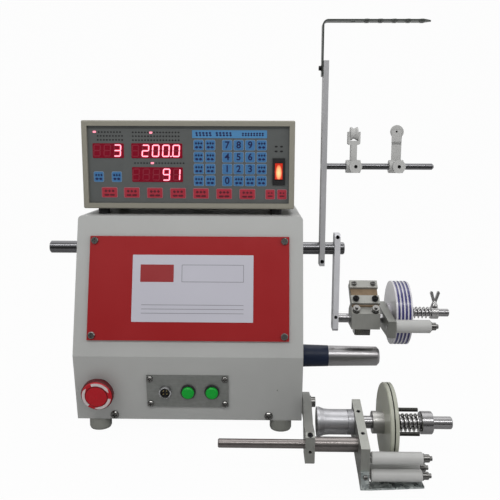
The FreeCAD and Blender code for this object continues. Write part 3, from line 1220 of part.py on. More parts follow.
def lower_link():
    """A bar cranked inwards halfway, between the cabinet's wall and the support rod."""
    thick, shift = s.link_thick, s.lower_link_shift
    rear, front = s.lower_link_x, s.lower_link_x - shift
    reach = s.lower_link_reach
    outline = [(s.pivot_y + 10, s.pivot_z + 9.5), (s.pivot_y + 10, s.pivot_z - 14),
               (s.rod_y + 16, s.rod_z - 16),
               (s.rod_y - 10, s.rod_z - 17.5), (s.rod_y - reach, s.rod_z - 14),
               (s.rod_y - reach, s.rod_z + 14),
               (s.rod_y - 10, s.rod_z + 18), (s.rod_y + 16, s.rod_z + 16.5)]
    bar = side_plate("lower_bar", outline, front - 1, thick + shift + 2)
    plan = [(rear, 40), (rear + thick, 40), (rear + thick, -5), (front + thick, -95), (front + thick, -130),
            (front, -130), (front, -95), (rear, -5)]
    crank = prism("lower_crank", "XY_Plane", plan, 80, (0, 0, 0))
    hole, screw_body = radial_screw("link_screw_front", front + thick / 2, rod_axis, 19.6, s.rod_thin / 2,
                                    37.4, 6)
    fixed_black.append(screw_body)
    nose = rod("lower_nose_hole", 3.4, 7, (front + thick / 2, s.rod_y - reach + 6, s.rod_z - 2.3),
               (X_AXIS, 90))
    node("lower_link", cut("lower_cut", common("lower_shape", bar, crank), hole, nose,
                           rod("lower_pivot", s.pivot_dia, thick + 4, (rear - 2, *pivot_axis)),
                           rod("lower_rod", s.rod_thin, thick + 4, (front - 2, *rod_axis))))
    inside = half - s.sheet
    start = rear + thick - inside
    points = [(-6, 0), (-6, 6.5), (0, 6.5), (0, s.pivot_dia / 2), (start, s.pivot_dia / 2), (start, 8),
              (start + 1.5, 8),
              (start + 1.5, 6.5), (start + 7, 6.5), (start + 7, 0)]
    fixed_bright.append(turned("pivot_bolt", points, (inside, *pivot_axis)))
    spacer = rod("pivot_spacer", 20, rear - half, (half, *pivot_axis))
    fixed_bright.append(cut("pivot_washer", spacer, rod("washer_bore", s.pivot_dia, 2, (half, *pivot_axis))))
    shoulder = front + thick - s.rod_left
    step = s.plate_two_x - s.rod_left
    end = plate_two_right - s.rod_left
    points = [(0, 0), (0, s.rod_thin / 2 - 1), (1, s.rod_thin / 2), (shoulder, s.rod_thin / 2),
              (shoulder, s.rod_thick / 2), (step, s.rod_thick / 2), (step, s.rod_thin / 2),
              (end, s.rod_thin / 2),
              (end, 0)]
    node("support_rod", turned("support_bar", points, (s.rod_left, *rod_axis)))


def roller_plate():
    outline = [(-60, 75), (-135, 51), (-135, 6), (-121, 12), (-60, 33)]
    plate = side_plate("roller_plate_bar", outline, s.plate_two_x, s.plate_two_thick)
    middle = s.plate_two_x + s.plate_two_thick / 2
    tilt = lean(dim(24), dim(75))
    holes = [rod("plate_rod", s.rod_thin, s.plate_two_thick, (s.plate_two_x, *rod_axis)),
             rod("plate_shaft", s.brake_dia, s.plate_two_thick, (s.plate_two_x, *brake_axis))]
    for name, centre, reach, bore in (("plate_screw_rod", rod_axis, 15.8, s.rod_thin),
                                      ("plate_screw_shaft", brake_axis, 15.4, s.brake_dia)):
        hole, screw_body = radial_screw(name, middle, centre, reach, bore / 2, tilt)
        holes.append(hole)
        fixed_black.append(screw_body)
    for name, centre in lower_rollers.items():
        holes.append(rod(name + "_seat", s.small_roller_bolt, s.plate_two_thick, (s.plate_two_x, *centre)))
        fixed_bright.append(roller(name, centre, plate_two_right + 2, s.small_roller_length,
                                   s.small_roller_dia,
                                   s.small_roller_bolt, s.plate_two_x))
    guard_hole = rod("plate_guard_hole", panel_shank, 8, (middle, -127, s.guard_screw_z), (X_AXIS, 90))
    node("roller_plate", cut("plate_cut", plate, guard_hole, *holes))


def roller_guard():
    """A bent sheet: a flange on the plate's front edge and a tray under the rollers."""
    sheet_thick, front = s.guard_thick, dim(-135)
    floor, top = dim(6), dim(27)
    bend, end = plate_two_right + s.pad_gap, s.guard_right
    face = [(s.plate_two_x, floor), (bend, floor), (end, floor + s.guard_rise),
            (end, floor + s.guard_rise + sheet_thick),
            (bend, floor + sheet_thick), (plate_two_right - 1, floor + sheet_thick),
            (plate_two_right - 1, top),
            (s.plate_two_x, top)]
    flange = prism("guard_flange", "XZ_Plane", face, sheet_thick, (0, front, 0))
    shelf = [face[1], face[2], face[3], face[4]]
    tray = prism("guard_tray", "XZ_Plane", shelf, s.guard_depth, (0, front + s.guard_depth, 0))
    middle = s.plate_two_x + s.plate_two_thick / 2
    hole = rod("guard_hole", panel_shank, 6, (middle, front + 2, s.guard_screw_z), (X_AXIS, 90))
    node("roller_guard", cut("guard_cut", fuse("guard_joined", flange, tray), hole))
    fixed_bright.append(screw("guard_screw", 5, 1.8, panel_shank, 8,
                              (middle, front - sheet_thick, s.guard_screw_z),
                              (X_AXIS, 90)))


def brake():
    """The drum and the felt-lined discs turn on one fixed shaft; a spring presses the discs."""
    start = s.drum_left + 3 + s.pad_gap
    length = s.brake_end - start
    points = [(0, 0), (0, s.brake_dia / 2), (length - 1, s.brake_dia / 2), (length, s.brake_dia / 2 - 1),
              (length, 0)]
    node("brake_shaft", turned("brake_bar", points, (start, *brake_axis)))
    bore, end, radius = s.brake_dia / 2 + s.running, s.plate_two_x - s.pad_gap - s.drum_left, s.drum_dia / 2
    points = [(0, 0), (0, s.drum_flange / 2), (3, s.drum_flange / 2), (8, radius + 0.6), (14, radius),
              (end - 7.5, radius),
              (end - 7.5, radius - 1.2), (end - 6.5, radius - 1.2), (end - 6.5, radius - 0.4),
              (end, radius - 0.4),
              (end, bore), (3, bore), (3, 0)]
    node("drum", turned("drum_bar", points, (s.drum_left, *brake_axis)))
    hub, rim, hub_length = s.disc_hub_dia / 2, s.disc_dia / 2, s.disc_left - s.disc_hub_left
    points = [(0, bore), (0, hub), (hub_length, hub), (hub_length, rim - 1), (hub_length + 1, rim),
              (hub_length + s.disc_thick, rim), (hub_length + s.disc_thick, bore)]
    inner = turned("inner_disc", points, (s.disc_hub_left, *brake_axis))
    felt = turned("disc_felt", [(0, hub), (0, rim - 1), (s.brake_felt, rim - 1), (s.brake_felt, hub)],
                  (s.disc_left + s.disc_thick, *brake_axis))
    node("brake_disc_inner", group("inner_set", inner, felt))
    start = s.disc_left + s.disc_thick + s.brake_felt
    back = dim(10) - s.brake_felt
    points = [(0, bore), (0, rim), (s.disc_thick - 1, rim), (s.disc_thick, rim - 1), (s.disc_thick, 19),
              (back, 19),
              (back, bore)]
    outer = turned("outer_disc", points, (start, *brake_axis))
    pins = []
    for i, angle in enumerate((0, 120, 240)):
        y = brake_axis[0] + s.brake_pin_round * math.sin(math.radians(angle))
        z = brake_axis[1] + s.brake_pin_round * math.cos(math.radians(angle))
        pins.append(rod(f"disc_pin_{i}", s.brake_pin, s.nut_left - 3 - start - back, (start + back, y, z)))
    node("brake_disc_outer", fuse("outer_set", outer, *pins))
    left = start + back + s.pad_gap
    node("brake_spring", spring("brake_coil", s.brake_spring_dia, s.brake_spring_wire, left,
                                s.nut_left - s.pad_gap - left, 5, brake_axis))
    wide = s.nut_width
    points = [(0, bore), (0, s.nut_dia / 2 - 1), (1, s.nut_dia / 2), (wide - 1, s.nut_dia / 2),
              (wide, s.nut_dia / 2 - 1),
              (wide, bore)]
    node("brake_nut", turned("nut_bar", points, (s.nut_left, *brake_axis)))


def screws():
    for i, (x, up) in enumerate(red_screws):
        fixed_bright.append(screw(f"red_screw_{i}", 8.8, 2.6, panel_shank, s.panel_thick + s.sheet + 4,
                                  on_upper(x, up, s.panel_thick), UPPER))
    for i, (x, down) in enumerate(plate_screws):
        fixed_bright.append(screw(f"plate_screw_{i}", 8, 2.4, panel_shank, s.plate_thick + s.sheet + 4,
                                  on_lower(x, down, s.plate_thick), LOWER))
    for i, (x, down) in enumerate(edge_screws):
        fixed_bright.append(screw(f"edge_screw_{i}", 10.5, 3, edge_shank, s.sheet + 1,
                                  on_lower(x, down, 0), LOWER))
    for i, (x, y) in enumerate(foot_spots):
        fixed_bright.append(screw(f"foot_screw_{i}", 9, 3, foot_screw,
                                  s.case_bottom + s.base_thick - foot_sink,
                                  (x, y, foot_sink), (X_AXIS, 180)))
    node("machine_screws", group("screw_set", *fixed_bright))
    node("set_screws", group("set_screw_set", *fixed_black))
    node("tension_screws", group("tension_screw_set", *bright))
    node("tension_set_screws", group("tension_set_screw_set", *black))


def finish():
    """Rebuild, test every object and write one file for each sub-part."""
    doc.recompute()
    for obj in doc.Objects:
        if any(word in ("Invalid", "Error") for word in obj.State):
            raise RuntimeError(f"{obj.Name} ({obj.Label}) is {obj.State}")
    os.makedirs("parts", exist_ok=True)
    for name, obj in nodes.items():
        if obj.Shape.isNull() or not obj.Shape.isValid():
            raise RuntimeError(f"{name} has no valid shape")
        obj.Shape.exportStep(f"parts/{name}.step")
    print(len(nodes), "sub-parts written")


casing_shell()
chassis()
rubber_feet()
red_panel()
switch_plate()
electrical_fittings()
push_buttons()
stop_head()
inner_frame()
bearings()
spindle()
drive_pulleys()
drive_belt()
motors()
lead_screw()
circuit_boards()
controller()
power_switch()
traverse()
mast()
guide_strip()
guides()
upper_link()
felt_clamp()
wheel_arm()
wire_wheel()
bright.append(roller("guide_roller", roller_axis, arm_right + 0.5, s.roller_length, s.roller_dia,
                     s.roller_bolt,
                     s.arm_x))
lower_link()
roller_plate()
roller_guard()
brake()
screws()
finish()
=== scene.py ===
# %% [markdown]
# # A bench coil winder, dressed for rendering
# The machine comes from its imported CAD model. This file gives every piece its finish, adds what is
# too thin or too fine for the CAD (keys, digits, label, knurls), and sets up camera, floor and light.

# %% Load the machine
import json
import math

import bmesh
import bpy
from mathutils import Matrix, Vector

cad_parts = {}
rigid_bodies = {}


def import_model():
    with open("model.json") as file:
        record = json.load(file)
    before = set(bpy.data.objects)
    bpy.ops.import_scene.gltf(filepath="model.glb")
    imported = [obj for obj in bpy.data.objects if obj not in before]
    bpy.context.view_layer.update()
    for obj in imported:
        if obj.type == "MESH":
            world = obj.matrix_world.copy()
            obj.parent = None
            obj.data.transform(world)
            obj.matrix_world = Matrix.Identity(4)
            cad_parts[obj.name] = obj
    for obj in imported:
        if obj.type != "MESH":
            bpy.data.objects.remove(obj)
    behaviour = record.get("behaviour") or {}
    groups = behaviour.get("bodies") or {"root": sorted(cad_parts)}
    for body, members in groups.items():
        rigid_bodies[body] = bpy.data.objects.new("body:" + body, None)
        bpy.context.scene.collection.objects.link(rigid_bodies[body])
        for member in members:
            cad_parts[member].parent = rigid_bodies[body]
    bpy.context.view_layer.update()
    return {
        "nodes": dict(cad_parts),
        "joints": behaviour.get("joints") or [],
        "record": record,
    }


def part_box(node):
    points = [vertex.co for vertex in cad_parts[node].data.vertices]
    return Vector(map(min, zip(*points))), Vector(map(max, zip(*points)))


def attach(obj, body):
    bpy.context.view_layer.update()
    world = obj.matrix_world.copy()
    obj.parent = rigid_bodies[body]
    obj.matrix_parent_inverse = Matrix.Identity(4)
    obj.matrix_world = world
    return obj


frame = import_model()
nodes = frame["nodes"]
joints = {joint["name"]: joint for joint in frame["joints"]}
mounts = {mount["name"]: mount for mount in frame["record"]["mounts"]}

# %% [markdown]
# Sizes are easier to read in millimetres, measured back from the fold across the cabinet's front.
# The frame's origin is 150 mm behind that fold, so one small function turns such a place into metres.

# %% Places in millimetres
FOLD = 150.0


def place(x, y, z):
    """A place in metres from millimetres, with Y counted back from the fold."""
    return Vector((x, y - FOLD, z)) / 1000


def tone(red, green, blue):
    """A colour written as on a screen, 0 to 255, turned into Blender's linear values."""
    def linear(level):
        share = level / 255
        return share / 12.92 if level <= 10 else ((share + 0.055) / 1.055) ** 2.4
    return (linear(red), linear(green), linear(blue), 1)


# %% [markdown]
# The camera stands a little to the right and looks slightly down, like someone on a stool in front
# of the bench. The lens is a short telephoto, which keeps the cabinet's edges nearly upright.

# %% Camera
SENSOR_WIDTH = 36
LENS = 45.36
CAMERA_AT = place(88.8, -750, 357)
TURN_LEFT = math.radians(0.9)
UPRIGHT_TILT = math.radians(81)
ROLL = math.radians(0.2)

camera = bpy.data.objects.new("camera", bpy.data.cameras.new("camera"))
bpy.context.scene.collection.objects.link(camera)
camera.data.sensor_width = SENSOR_WIDTH
camera.data.lens = LENS
camera.data.clip_start = 0.01
look = Matrix.Rotation(TURN_LEFT, 4, "Z") @ Matrix.Rotation(UPRIGHT_TILT, 4, "X")
camera.matrix_world = Matrix.Translation(CAMERA_AT) @ look @ Matrix.Rotation(ROLL, 4, "Z")
bpy.context.scene.camera = camera
bpy.context.scene.view_settings.view_transform = "Standard"
print("camera at", [round(v, 3) for v in camera.location])

# %% [markdown]
# Shader maths reads best as plain expressions. `Number` wraps one output socket, and each operator
# adds a Math node, so `1 - mask * 0.5` builds the same two nodes that one would drag by hand.
# `Finish` wraps one material: `add` makes any other node from its type, its settings and its inputs.
# Noise seldom leaves its middle values, so `NOISE_RANGE` is what gets stretched over a full effect.

# %% A small language for nodes
NOISE_RANGE = (0.3, 0.7)


class Number:
    """One output socket that sums, products and comparisons can be written on."""

    def __init__(self, tree, socket):
        self.tree = tree
        self.socket = socket

    def joined(self, operation, first, second):
        node = self.tree.nodes.new("ShaderNodeMath")
        node.operation = operation
        for slot, value in zip(node.inputs, (first, second)):
            feed(self.tree, slot, value)
        return Number(self.tree, node.outputs[0])

    def __add__(self, other):
        return self.joined("ADD", self, other)

    def __sub__(self, other):
        return self.joined("SUBTRACT", self, other)

    def __mul__(self, other):
        return self.joined("MULTIPLY", self, other)

    def __radd__(self, other):
        return self.joined("ADD", other, self)

    def __rsub__(self, other):
        return self.joined("SUBTRACT", other, self)

    def __gt__(self, other):
        return self.joined("GREATER_THAN", self, other)

    def __lt__(self, other):
        return self.joined("LESS_THAN", self, other)

    def __mod__(self, other):
        return self.joined("MODULO", self, other)


def feed(tree, slot, value):
    """Link a socket, or set a plain value on it."""
    if isinstance(value, Number):
        tree.links.new(value.socket, slot)
    elif value is not None:
        slot.default_value = value


def add_node(tree, kind, settings, values):
    """Make a node: settings first, then its inputs by name or by number."""
    node = tree.nodes.new(kind)
    for key, value in (settings or {}).items():
        setattr(node, key, value)
    for key, value in (values or {}).items():
        feed(tree, node.inputs[key], value)
    return node


class Finish:
    """A material built around one Principled shader. Slots left as None get their nodes later."""

    def __init__(self, name, colour=None, rough=None, metal=0.0, **shader):
        self.material = bpy.data.materials.new(name)
        self.material.use_nodes = True
        self.tree = self.material.node_tree
        self.shader = self.tree.nodes["Principled BSDF"]
        self.set("Base Color", colour)
        self.set("Roughness", rough)
        self.set("Metallic", metal)
        for key, value in shader.items():
            self.set(key.replace("_", " "), value)

    def set(self, slot, value):
        feed(self.tree, self.shader.inputs[slot], value)
        return self

    def add(self, kind, settings=None, values=None, output=0):
        node = add_node(self.tree, "ShaderNode" + kind, settings, values)
        return Number(self.tree, node.outputs[output])

    def spot(self, scale=(1, 1, 1)):
        """The place on the piece, stretched by a scale along X, Y and Z."""
        here = self.add("TexCoord", output="Object")
        return self.add("Mapping", None, {"Vector": here, "Scale": scale})

    def along(self, axis):
        """One coordinate on the piece, in millimetres."""
        here = self.add("TexCoord", output="Object")
        return self.add("SeparateXYZ", None, {0: here}, output=axis) * 1000

    def noise(self, size_mm, detail):
        """Soft noise from 0 to 1 whose blotches are about so large."""
        return self.add("TexNoise", None, {"Vector": self.spot(), "Scale": 1000 / size_mm, "Detail": detail,
                                           "Roughness": 0.55})

    def blend(self, amount, first, second):
        """A colour between two colours."""
        node = add_node(self.tree, "ShaderNodeMix", {"data_type": "RGBA"}, {0: amount, 6: first, 7: second})
        return Number(self.tree, node.outputs[2])

    def between(self, value, low, high, start=0.0, end=1.0):
        """A value moved from one range to another, and kept inside it."""
        return self.add("MapRange", None, {0: value, 1: low, 2: high, 3: start, 4: end})

    def bump(self, height, strength, distance):
        bumps = self.add("Bump", None, {"Strength": strength, "Distance": distance, "Height": height})
        return self.set("Normal", bumps)


def shade(colour, factor):
    """The same colour, lighter or darker."""
    return tuple(min(1, c * factor) for c in colour[:3]) + (1,)


# %% [markdown]
# The cabinet is powder coated sheet steel: a fine pebbled skin, almost matt, with slight clouds in
# the colour. Two noises do it, a small one as bump and a large one for colour and roughness.

# %% Painted sheet metal


def painted(name, colour, rough=0.45, grain=0.9, clouds=0.06, skin=0.25, **shader):
    """Grain is the size of the skin's pebbles in mm, and clouds says how far the colour wanders."""
    finish = Finish(name, **shader)
    cloud = finish.noise(60, 4)
    finish.set("Base Color", finish.blend(cloud, shade(colour, 1 - clouds), shade(colour, 1 + clouds)))
    finish.set("Roughness", finish.between(cloud, *NOISE_RANGE, rough - 0.05, rough + 0.06))
    return finish.bump(finish.noise(grain, 2), skin, 0.00015)


cabinet_paint = painted("cabinet_paint", tone(175, 176, 174))
red_enamel = painted("red_enamel", tone(152, 22, 26), 0.36, 1.6, 0.05, 0.12, Specular_IOR_Level=0.3)
controller_paint = painted("controller_paint", tone(143, 140, 128), 0.42, 0.7)
chassis_paint = painted("chassis_paint", tone(120, 122, 122), 0.5)
motor_paint = painted("motor_paint", tone(60, 62, 66), 0.4)

# %% [markdown]
# Machined metal keeps the marks of its tool. On flat bars they are long strokes, on turned pieces
# they are rings. Both are noise, stretched a lot: it changes fast across the strokes and hardly
# along them.

# %% Machined metal
# The size of one mark in mm along X, Y and Z.
UPRIGHT = (0.3, 0.3, 30)
TURNED = (0.3, 90, 90)
DRAWN = (90, 0.3, 0.3)
MILLED = (0.3, 14, 14)


def machined(name, colour, rough, marks, metal=1.0, depth=0.2, cloud_size=18, clouds=0.12, uneven=0.09):
    """Depth is that of the marks' bump. Uneven says how far the gloss wanders."""
    finish = Finish(name, metal=metal)
    lines = finish.add("TexNoise", None, {"Vector": finish.spot(tuple(1000 / size for size in marks)),
                                          "Scale": 1.0, "Detail": 3, "Roughness": 0.6})
    shades = lines * 0.55 + finish.noise(cloud_size, 4) * 0.45
    dark, light = shade(colour, 1 - clouds), shade(colour, 1 + clouds)
    finish.set("Base Color", finish.blend(finish.between(shades, *NOISE_RANGE), dark, light))
    finish.set("Roughness", finish.between(shades, *NOISE_RANGE, rough - uneven, rough + uneven))
    return finish.bump(lines, depth, 0.00005)


def polished(name, colour, rough, marks, metal=1.0, clouds=0.05, depth=0.05, uneven=0.03):
    """Ground or turned to a shine, so its marks hardly show."""
    return machined(name, colour, rough, marks, metal, depth, clouds=clouds, uneven=uneven)


mast_aluminium = machined("mast_aluminium", tone(176, 176, 178), 0.5, UPRIGHT, 0.3, clouds=0.06)
link_aluminium = machined("link_aluminium", tone(216, 216, 220), 0.5, UPRIGHT, 0.3, clouds=0.06)
frame_aluminium = machined("frame_aluminium", tone(150, 150, 152), 0.42, UPRIGHT)
clamp_aluminium = machined("clamp_aluminium", tone(158, 158, 153), 0.5, MILLED, 0.45)
arm_aluminium = machined("arm_aluminium", tone(146, 147, 142), 0.42, MILLED, 0.8, clouds=0.18)
drum_aluminium = machined("drum_aluminium", tone(170, 170, 173), 0.38, (0.35, 90, 90), 0.85, 0.05,
                          clouds=0.04, uneven=0.02)
turned_steel = polished("turned_steel", tone(150, 149, 150), 0.22, TURNED)
nose_steel = polished("nose_steel", tone(160, 158, 159), 0.3, TURNED, clouds=0.04, depth=0.03, uneven=0.02)
rod_steel = polished("rod_steel", tone(112, 112, 114), 0.2, DRAWN)
bar_steel = machined("bar_steel", tone(122, 117, 115), 0.3, (30, 0.3, 0.3), clouds=0.18)
plate_steel = machined("plate_steel", tone(134, 136, 133), 0.42, (22, 0.3, 0.6), 0.6, clouds=0.2,
                       cloud_size=5)
screw_steel = machined("screw_steel", tone(116, 115, 113), 0.16, (1, 1, 1), clouds=0.1)
spring_steel = machined("spring_steel", tone(190, 189, 188), 0.18, (0.4, 2, 2))
strip_steel = machined("strip_steel", tone(72, 76, 72), 0.45, (20, 0.4, 20), 0.5)
eyelet_steel = machined("eyelet_steel", tone(128, 130, 128), 0.35, (2, 2, 2))
wing_steel = machined("wing_steel", tone(176, 175, 174), 0.3, (2, 2, 2), 0.8)
chrome_ring = machined("chrome_ring", tone(190, 190, 192), 0.16, (2, 2, 2), clouds=0.06)
pin_brass = machined("pin_brass", tone(200, 180, 130), 0.25, (1, 1, 1))
black_oxide = machined("black_oxide", tone(30, 30, 32), 0.38, (0.5, 0.5, 0.5), 0.6)

# %% [markdown]
# Plastics differ mostly in gloss. A very fine noise in the bump and a larger one in the roughness
# keep them from looking like a computer's perfect plastic.

# %% Plastics and rubber


def skinned(name, rough, grain=0.6, depth=0.12, **shader):
    """A moulding still without its colour, and the clouds in its gloss."""
    finish = Finish(name, **shader)
    cloud = finish.noise(14, 3)
    finish.set("Roughness", finish.between(cloud, *NOISE_RANGE, rough - 0.05, rough + 0.07))
    return finish.bump(finish.noise(grain, 2), depth, 0.0001), cloud


def moulded(name, colour, rough=0.4, grain=0.6, depth=0.12, **shader):
    finish, cloud = skinned(name, rough, grain, depth, **shader)
    return finish.set("Base Color", finish.blend(cloud, shade(colour, 0.94), shade(colour, 1.05)))


white_nylon = moulded("white_nylon", tone(184, 184, 182), 0.42)
black_plastic = moulded("black_plastic", tone(34, 34, 36))
green_button = moulded("green_button", tone(12, 164, 52), 0.34, Specular_IOR_Level=0.25)
keypad_film = moulded("keypad_film", tone(88, 91, 90), 0.5, 0.4, 0.1)
navy_sleeve = moulded("navy_sleeve", tone(26, 36, 58), Specular_IOR_Level=0.25)
board_green = moulded("board_green", tone(20, 80, 50))

# %% [markdown]
# Some pieces have two or three materials in one solid, such as a cream brake disc with a steel hub
# and a dark lining. A mask made of the place along one axis then chooses the colour and the metal.

# %% Mouldings in several colours
HUB_LENGTH = 12.5
DISC_THICKNESS = 4.05
CONTROLLER_FEET = 200


def disc_finish(name, dark_from, bright_until=None):
    """Cream moulding, with a dark part and perhaps a bright hub, by the place along the shaft."""
    finish, cloud = skinned(name, 0.36)
    across = finish.along(0)
    dark = across > dark_from
    colour = finish.blend(cloud, tone(164, 166, 152), tone(178, 180, 166))
    metal = dark * 0.5
    if bright_until:
        bright = across < bright_until
        colour = finish.blend(bright, colour, tone(176, 175, 172))
        metal = metal + bright * 0.9
    finish.set("Base Color", finish.blend(dark, colour, tone(40, 40, 36)))
    return finish.set("Metallic", metal)


disc_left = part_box("brake_disc_inner")[0].x * 1000 + HUB_LENGTH
inner_disc = disc_finish("inner_disc", disc_left + DISC_THICKNESS, disc_left - 0.1)
outer_disc = disc_finish("outer_disc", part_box("brake_disc_outer")[0].x * 1000 + DISC_THICKNESS)

# The cabinet's feet are black, and the controller's, higher up, are grey.
feet_rubber = skinned("feet_rubber", 0.6, 0.8, 0.2)[0]
on_top = feet_rubber.along(2) > CONTROLLER_FEET
feet_rubber.set("Base Color", feet_rubber.blend(on_top, tone(132, 133, 127), tone(24, 24, 26)))

# %% [markdown]
# Felt is a mat of short fibres: a very fine noise makes the strong bump, and a coarse one stains it.

# %% Felt
felt_brown = Finish("felt_brown", rough=0.95)
fibre = felt_brown.noise(0.7, 5)
stain = felt_brown.noise(9, 3)
felt_shades = felt_brown.blend(stain * 0.6 + fibre * 0.4, tone(92, 72, 54), tone(166, 146, 120))
felt_brown.set("Base Color", felt_shades)
felt_brown.bump(fibre, 0.8, 0.0004)

# %% [markdown]
# The large wire wheel is white with blue bands painted in its grooves. The bands follow the axle, so
# a remainder along X gives the place within one groove's pitch, and the distance from the axle
# keeps the paint off the wheel's flat sides.

# %% Striped wheel
WHEEL_WIDTH = 21.5
FIRST_BAND = 2.3
BAND_PITCH = 4.73
BAND_WIDTH = 2.9
BANDS_END = 17.4
RIM_RADIUS = 41.2

wheel_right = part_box("wire_wheel")[1].x * 1000
axle = Vector(joints["wire_wheel_spin"]["pos_m"]) * 1000
striped = Finish("striped_wheel", rough=0.3, Coat_Weight=0.3)
across = striped.along(0) - (wheel_right - WHEEL_WIDTH + FIRST_BAND)
in_band = ((across % BAND_PITCH) < BAND_WIDTH) * (across > 0) * (across < BANDS_END)
depth, height = striped.along(1) - axle.y, striped.along(2) - axle.z
on_rim = (height * height + depth * depth) > RIM_RADIUS ** 2
white = striped.blend(striped.noise(8, 4), tone(190, 188, 194), tone(222, 220, 224))
striped.set("Base Color", striped.blend(in_band * on_rim, white, tone(58, 56, 118)))
striped.bump(striped.noise(1.2, 2), 0.1, 0.0001)

# %% [markdown]
# Galvanised sheet shows zinc crystals. A Voronoi pattern gives each crystal its own brightness.

# %% Galvanised sheet
CRYSTALS_PER_METRE = 260.0

zinc = Finish("zinc", metal=1.0)
cells = {"Vector": zinc.spot(), "Scale": CRYSTALS_PER_METRE, "Randomness": 1.0}
crystal = zinc.add("TexVoronoi", None, cells, output="Color")
level = zinc.add("SeparateColor", None, {0: crystal})
zinc.set("Base Color", zinc.blend(level, tone(142, 150, 150), tone(208, 214, 212)))
zinc.set("Roughness", zinc.between(level, 0, 1, 0.26, 0.48))
zinc.bump(level, 0.15, 0.0001)

# %% [markdown]
# The power rocker glows orange around the lamp behind it. Its mask is strongest at the lamp and
# fades with the distance from it, faster sideways than up and down.

# %% Glowing rocker
LAMP_X, LAMP_Z = 112.5, 329
GLOW_HALF_WIDTH, GLOW_HALF_HEIGHT = 4, 10

rocker = Finish("rocker_glow", rough=0.3, Coat_Weight=0.4, Emission_Strength=0.8)
up_off = (rocker.along(2) - LAMP_Z) * (1 / GLOW_HALF_HEIGHT)
side_off = (rocker.along(0) - LAMP_X) * (1 / GLOW_HALF_WIDTH)
heat = rocker.between(up_off * up_off + side_off * side_off, 0.0, 1.0, 1.0, 0.0)
rocker.set("Base Color", rocker.blend(heat, tone(176, 40, 18), tone(255, 180, 110)))
rocker.set("Emission Color", rocker.blend(heat, tone(170, 28, 10), tone(255, 196, 140)))

# %% [markdown]
# The emergency stop is red with painted shade in two rings around its axis: a thin one in the crease
# between its middle disc and its cone, and one on the rim. The lower slope leans, so heights on the cap are
# measured up along that slope.
# The frame knows the slope's direction, because the stop is pressed straight into it.

# %% Emergency stop
FOLD_HEIGHT = 103
LEFT_OF_MIDDLE, BELOW_FOLD = 112, 45
CREASE_INSIDE, CREASE_OUTSIDE, CAP_RIM = 13.2, 14.1, 18.9

out_low = -Vector(joints["stop_press"]["axis"]).normalized()
up_low = out_low.cross(Vector((1, 0, 0)))
STOP = place(-LEFT_OF_MIDDLE, 0, FOLD_HEIGHT) - up_low * BELOW_FOLD / 1000

stop_red, cloud = skinned("stop_red", 0.34, Specular_IOR_Level=0.25)
across, back, high = (stop_red.along(axis) - STOP[axis] * 1000 for axis in range(3))
up_slope = back * up_low.y + high * up_low.z
spread = across * across + up_slope * up_slope
# Painted shade: the crease inside the cone and the rim are darkened to a deep red, all round the cap.
crease_shade = (spread > CREASE_INSIDE ** 2) * (spread < CREASE_OUTSIDE ** 2)
painted_shade_rings = crease_shade + (spread > CAP_RIM ** 2)
cap_colour = stop_red.blend(cloud, tone(168, 20, 32), tone(184, 24, 36))
stop_red.set("Base Color", stop_red.blend(painted_shade_rings, cap_colour, tone(84, 14, 20)))

# %% [markdown]
# Every CAD piece takes its finish by name. The mesh itself stays as it was imported.

# %% Dress the CAD pieces
DRESS = {
    cabinet_paint: ["casing_shell"], red_enamel: ["red_panel"], plate_steel: ["switch_plate"],
    chassis_paint: ["chassis"], feet_rubber: ["rubber_feet"], controller_paint: ["controller_case"],
    keypad_film: ["keypad_panel"], motor_paint: ["drive_motor", "traverse_motor"],
    black_plastic: ["electrical_fittings", "power_frame", "drive_belt"], rocker: ["power_rocker"],
    green_button: ["start_button", "reset_button"], stop_red: ["stop_head"],
    board_green: ["circuit_boards"], mast_aluminium: ["mast"], link_aluminium: ["upper_link"],
    frame_aluminium: ["inner_frame", "traverse_carriage"], clamp_aluminium: ["felt_clamp"],
    arm_aluminium: ["lower_link", "roller_plate", "wheel_arm"], drum_aluminium: ["drum"],
    nose_steel: ["spindle"], rod_steel: ["traverse_shaft", "cross_rod"], bar_steel: ["support_rod"],
    turned_steel: ["bearings", "spindle_pulley", "motor_pulley", "wheel_shaft", "brake_nut",
                   "brake_shaft", "tension_rod", "lead_screw"],
    screw_steel: ["machine_screws", "tension_screws"], black_oxide: ["set_screws", "tension_set_screws"],
    wing_steel: ["spring_collar"], spring_steel: ["wheel_spring", "brake_spring"],
    strip_steel: ["guide_strip"], eyelet_steel: ["guide_eyelets"], striped: ["wire_wheel"],
    white_nylon: ["guide_arms", "guide_wheel_left", "guide_wheel_right", "guide_roller",
                  "roller_upper", "roller_middle", "roller_lower"],
    inner_disc: ["brake_disc_inner"], outer_disc: ["brake_disc_outer"],
    navy_sleeve: ["spindle_sleeve"], felt_brown: ["felt_pads"], zinc: ["roller_guard"]}


def wear(piece, finish):
    piece.data.materials.clear()
    piece.data.materials.append(finish.material)


for finish, names in DRESS.items():
    for name in names:
        wear(nodes[name], finish)
print("pieces still bare:", sorted(set(nodes) - {name for names in DRESS.values() for name in names}))

# %% [markdown]
# Pieces made here all end the same way: a mesh in the frame's own metres, a finish and a body to ride
# on. `settle` does that once.

# %% Finish a piece made here


def settle(name, mesh, finish, body, smooth=True):
    """Make the piece. Without a finish, the mesh keeps the one that it came with."""
    piece = bpy.data.objects.new(name, mesh)
    bpy.context.scene.collection.objects.link(piece)
    if finish:
        wear(piece, finish)
    if smooth:
        mesh.shade_smooth()
        mesh.set_sharp_from_angle(angle=math.radians(35))
    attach(piece, body)


def from_bmesh(name, shape, finish, body, smooth=True):
    bmesh.ops.recalc_face_normals(shape, faces=shape.faces)
    mesh = bpy.data.meshes.new(name)
    shape.to_mesh(mesh)
    shape.free()
    settle(name, mesh, finish, body, smooth)


# %% [markdown]
# The controller's face is a printed film over flat keys. Every key is the same rounded plate in
# another size and place, so one Geometry Nodes recipe makes them all: a rounded rectangle is drawn,
# filled, thickened and set on each point of a small mesh that only holds the keys' places.

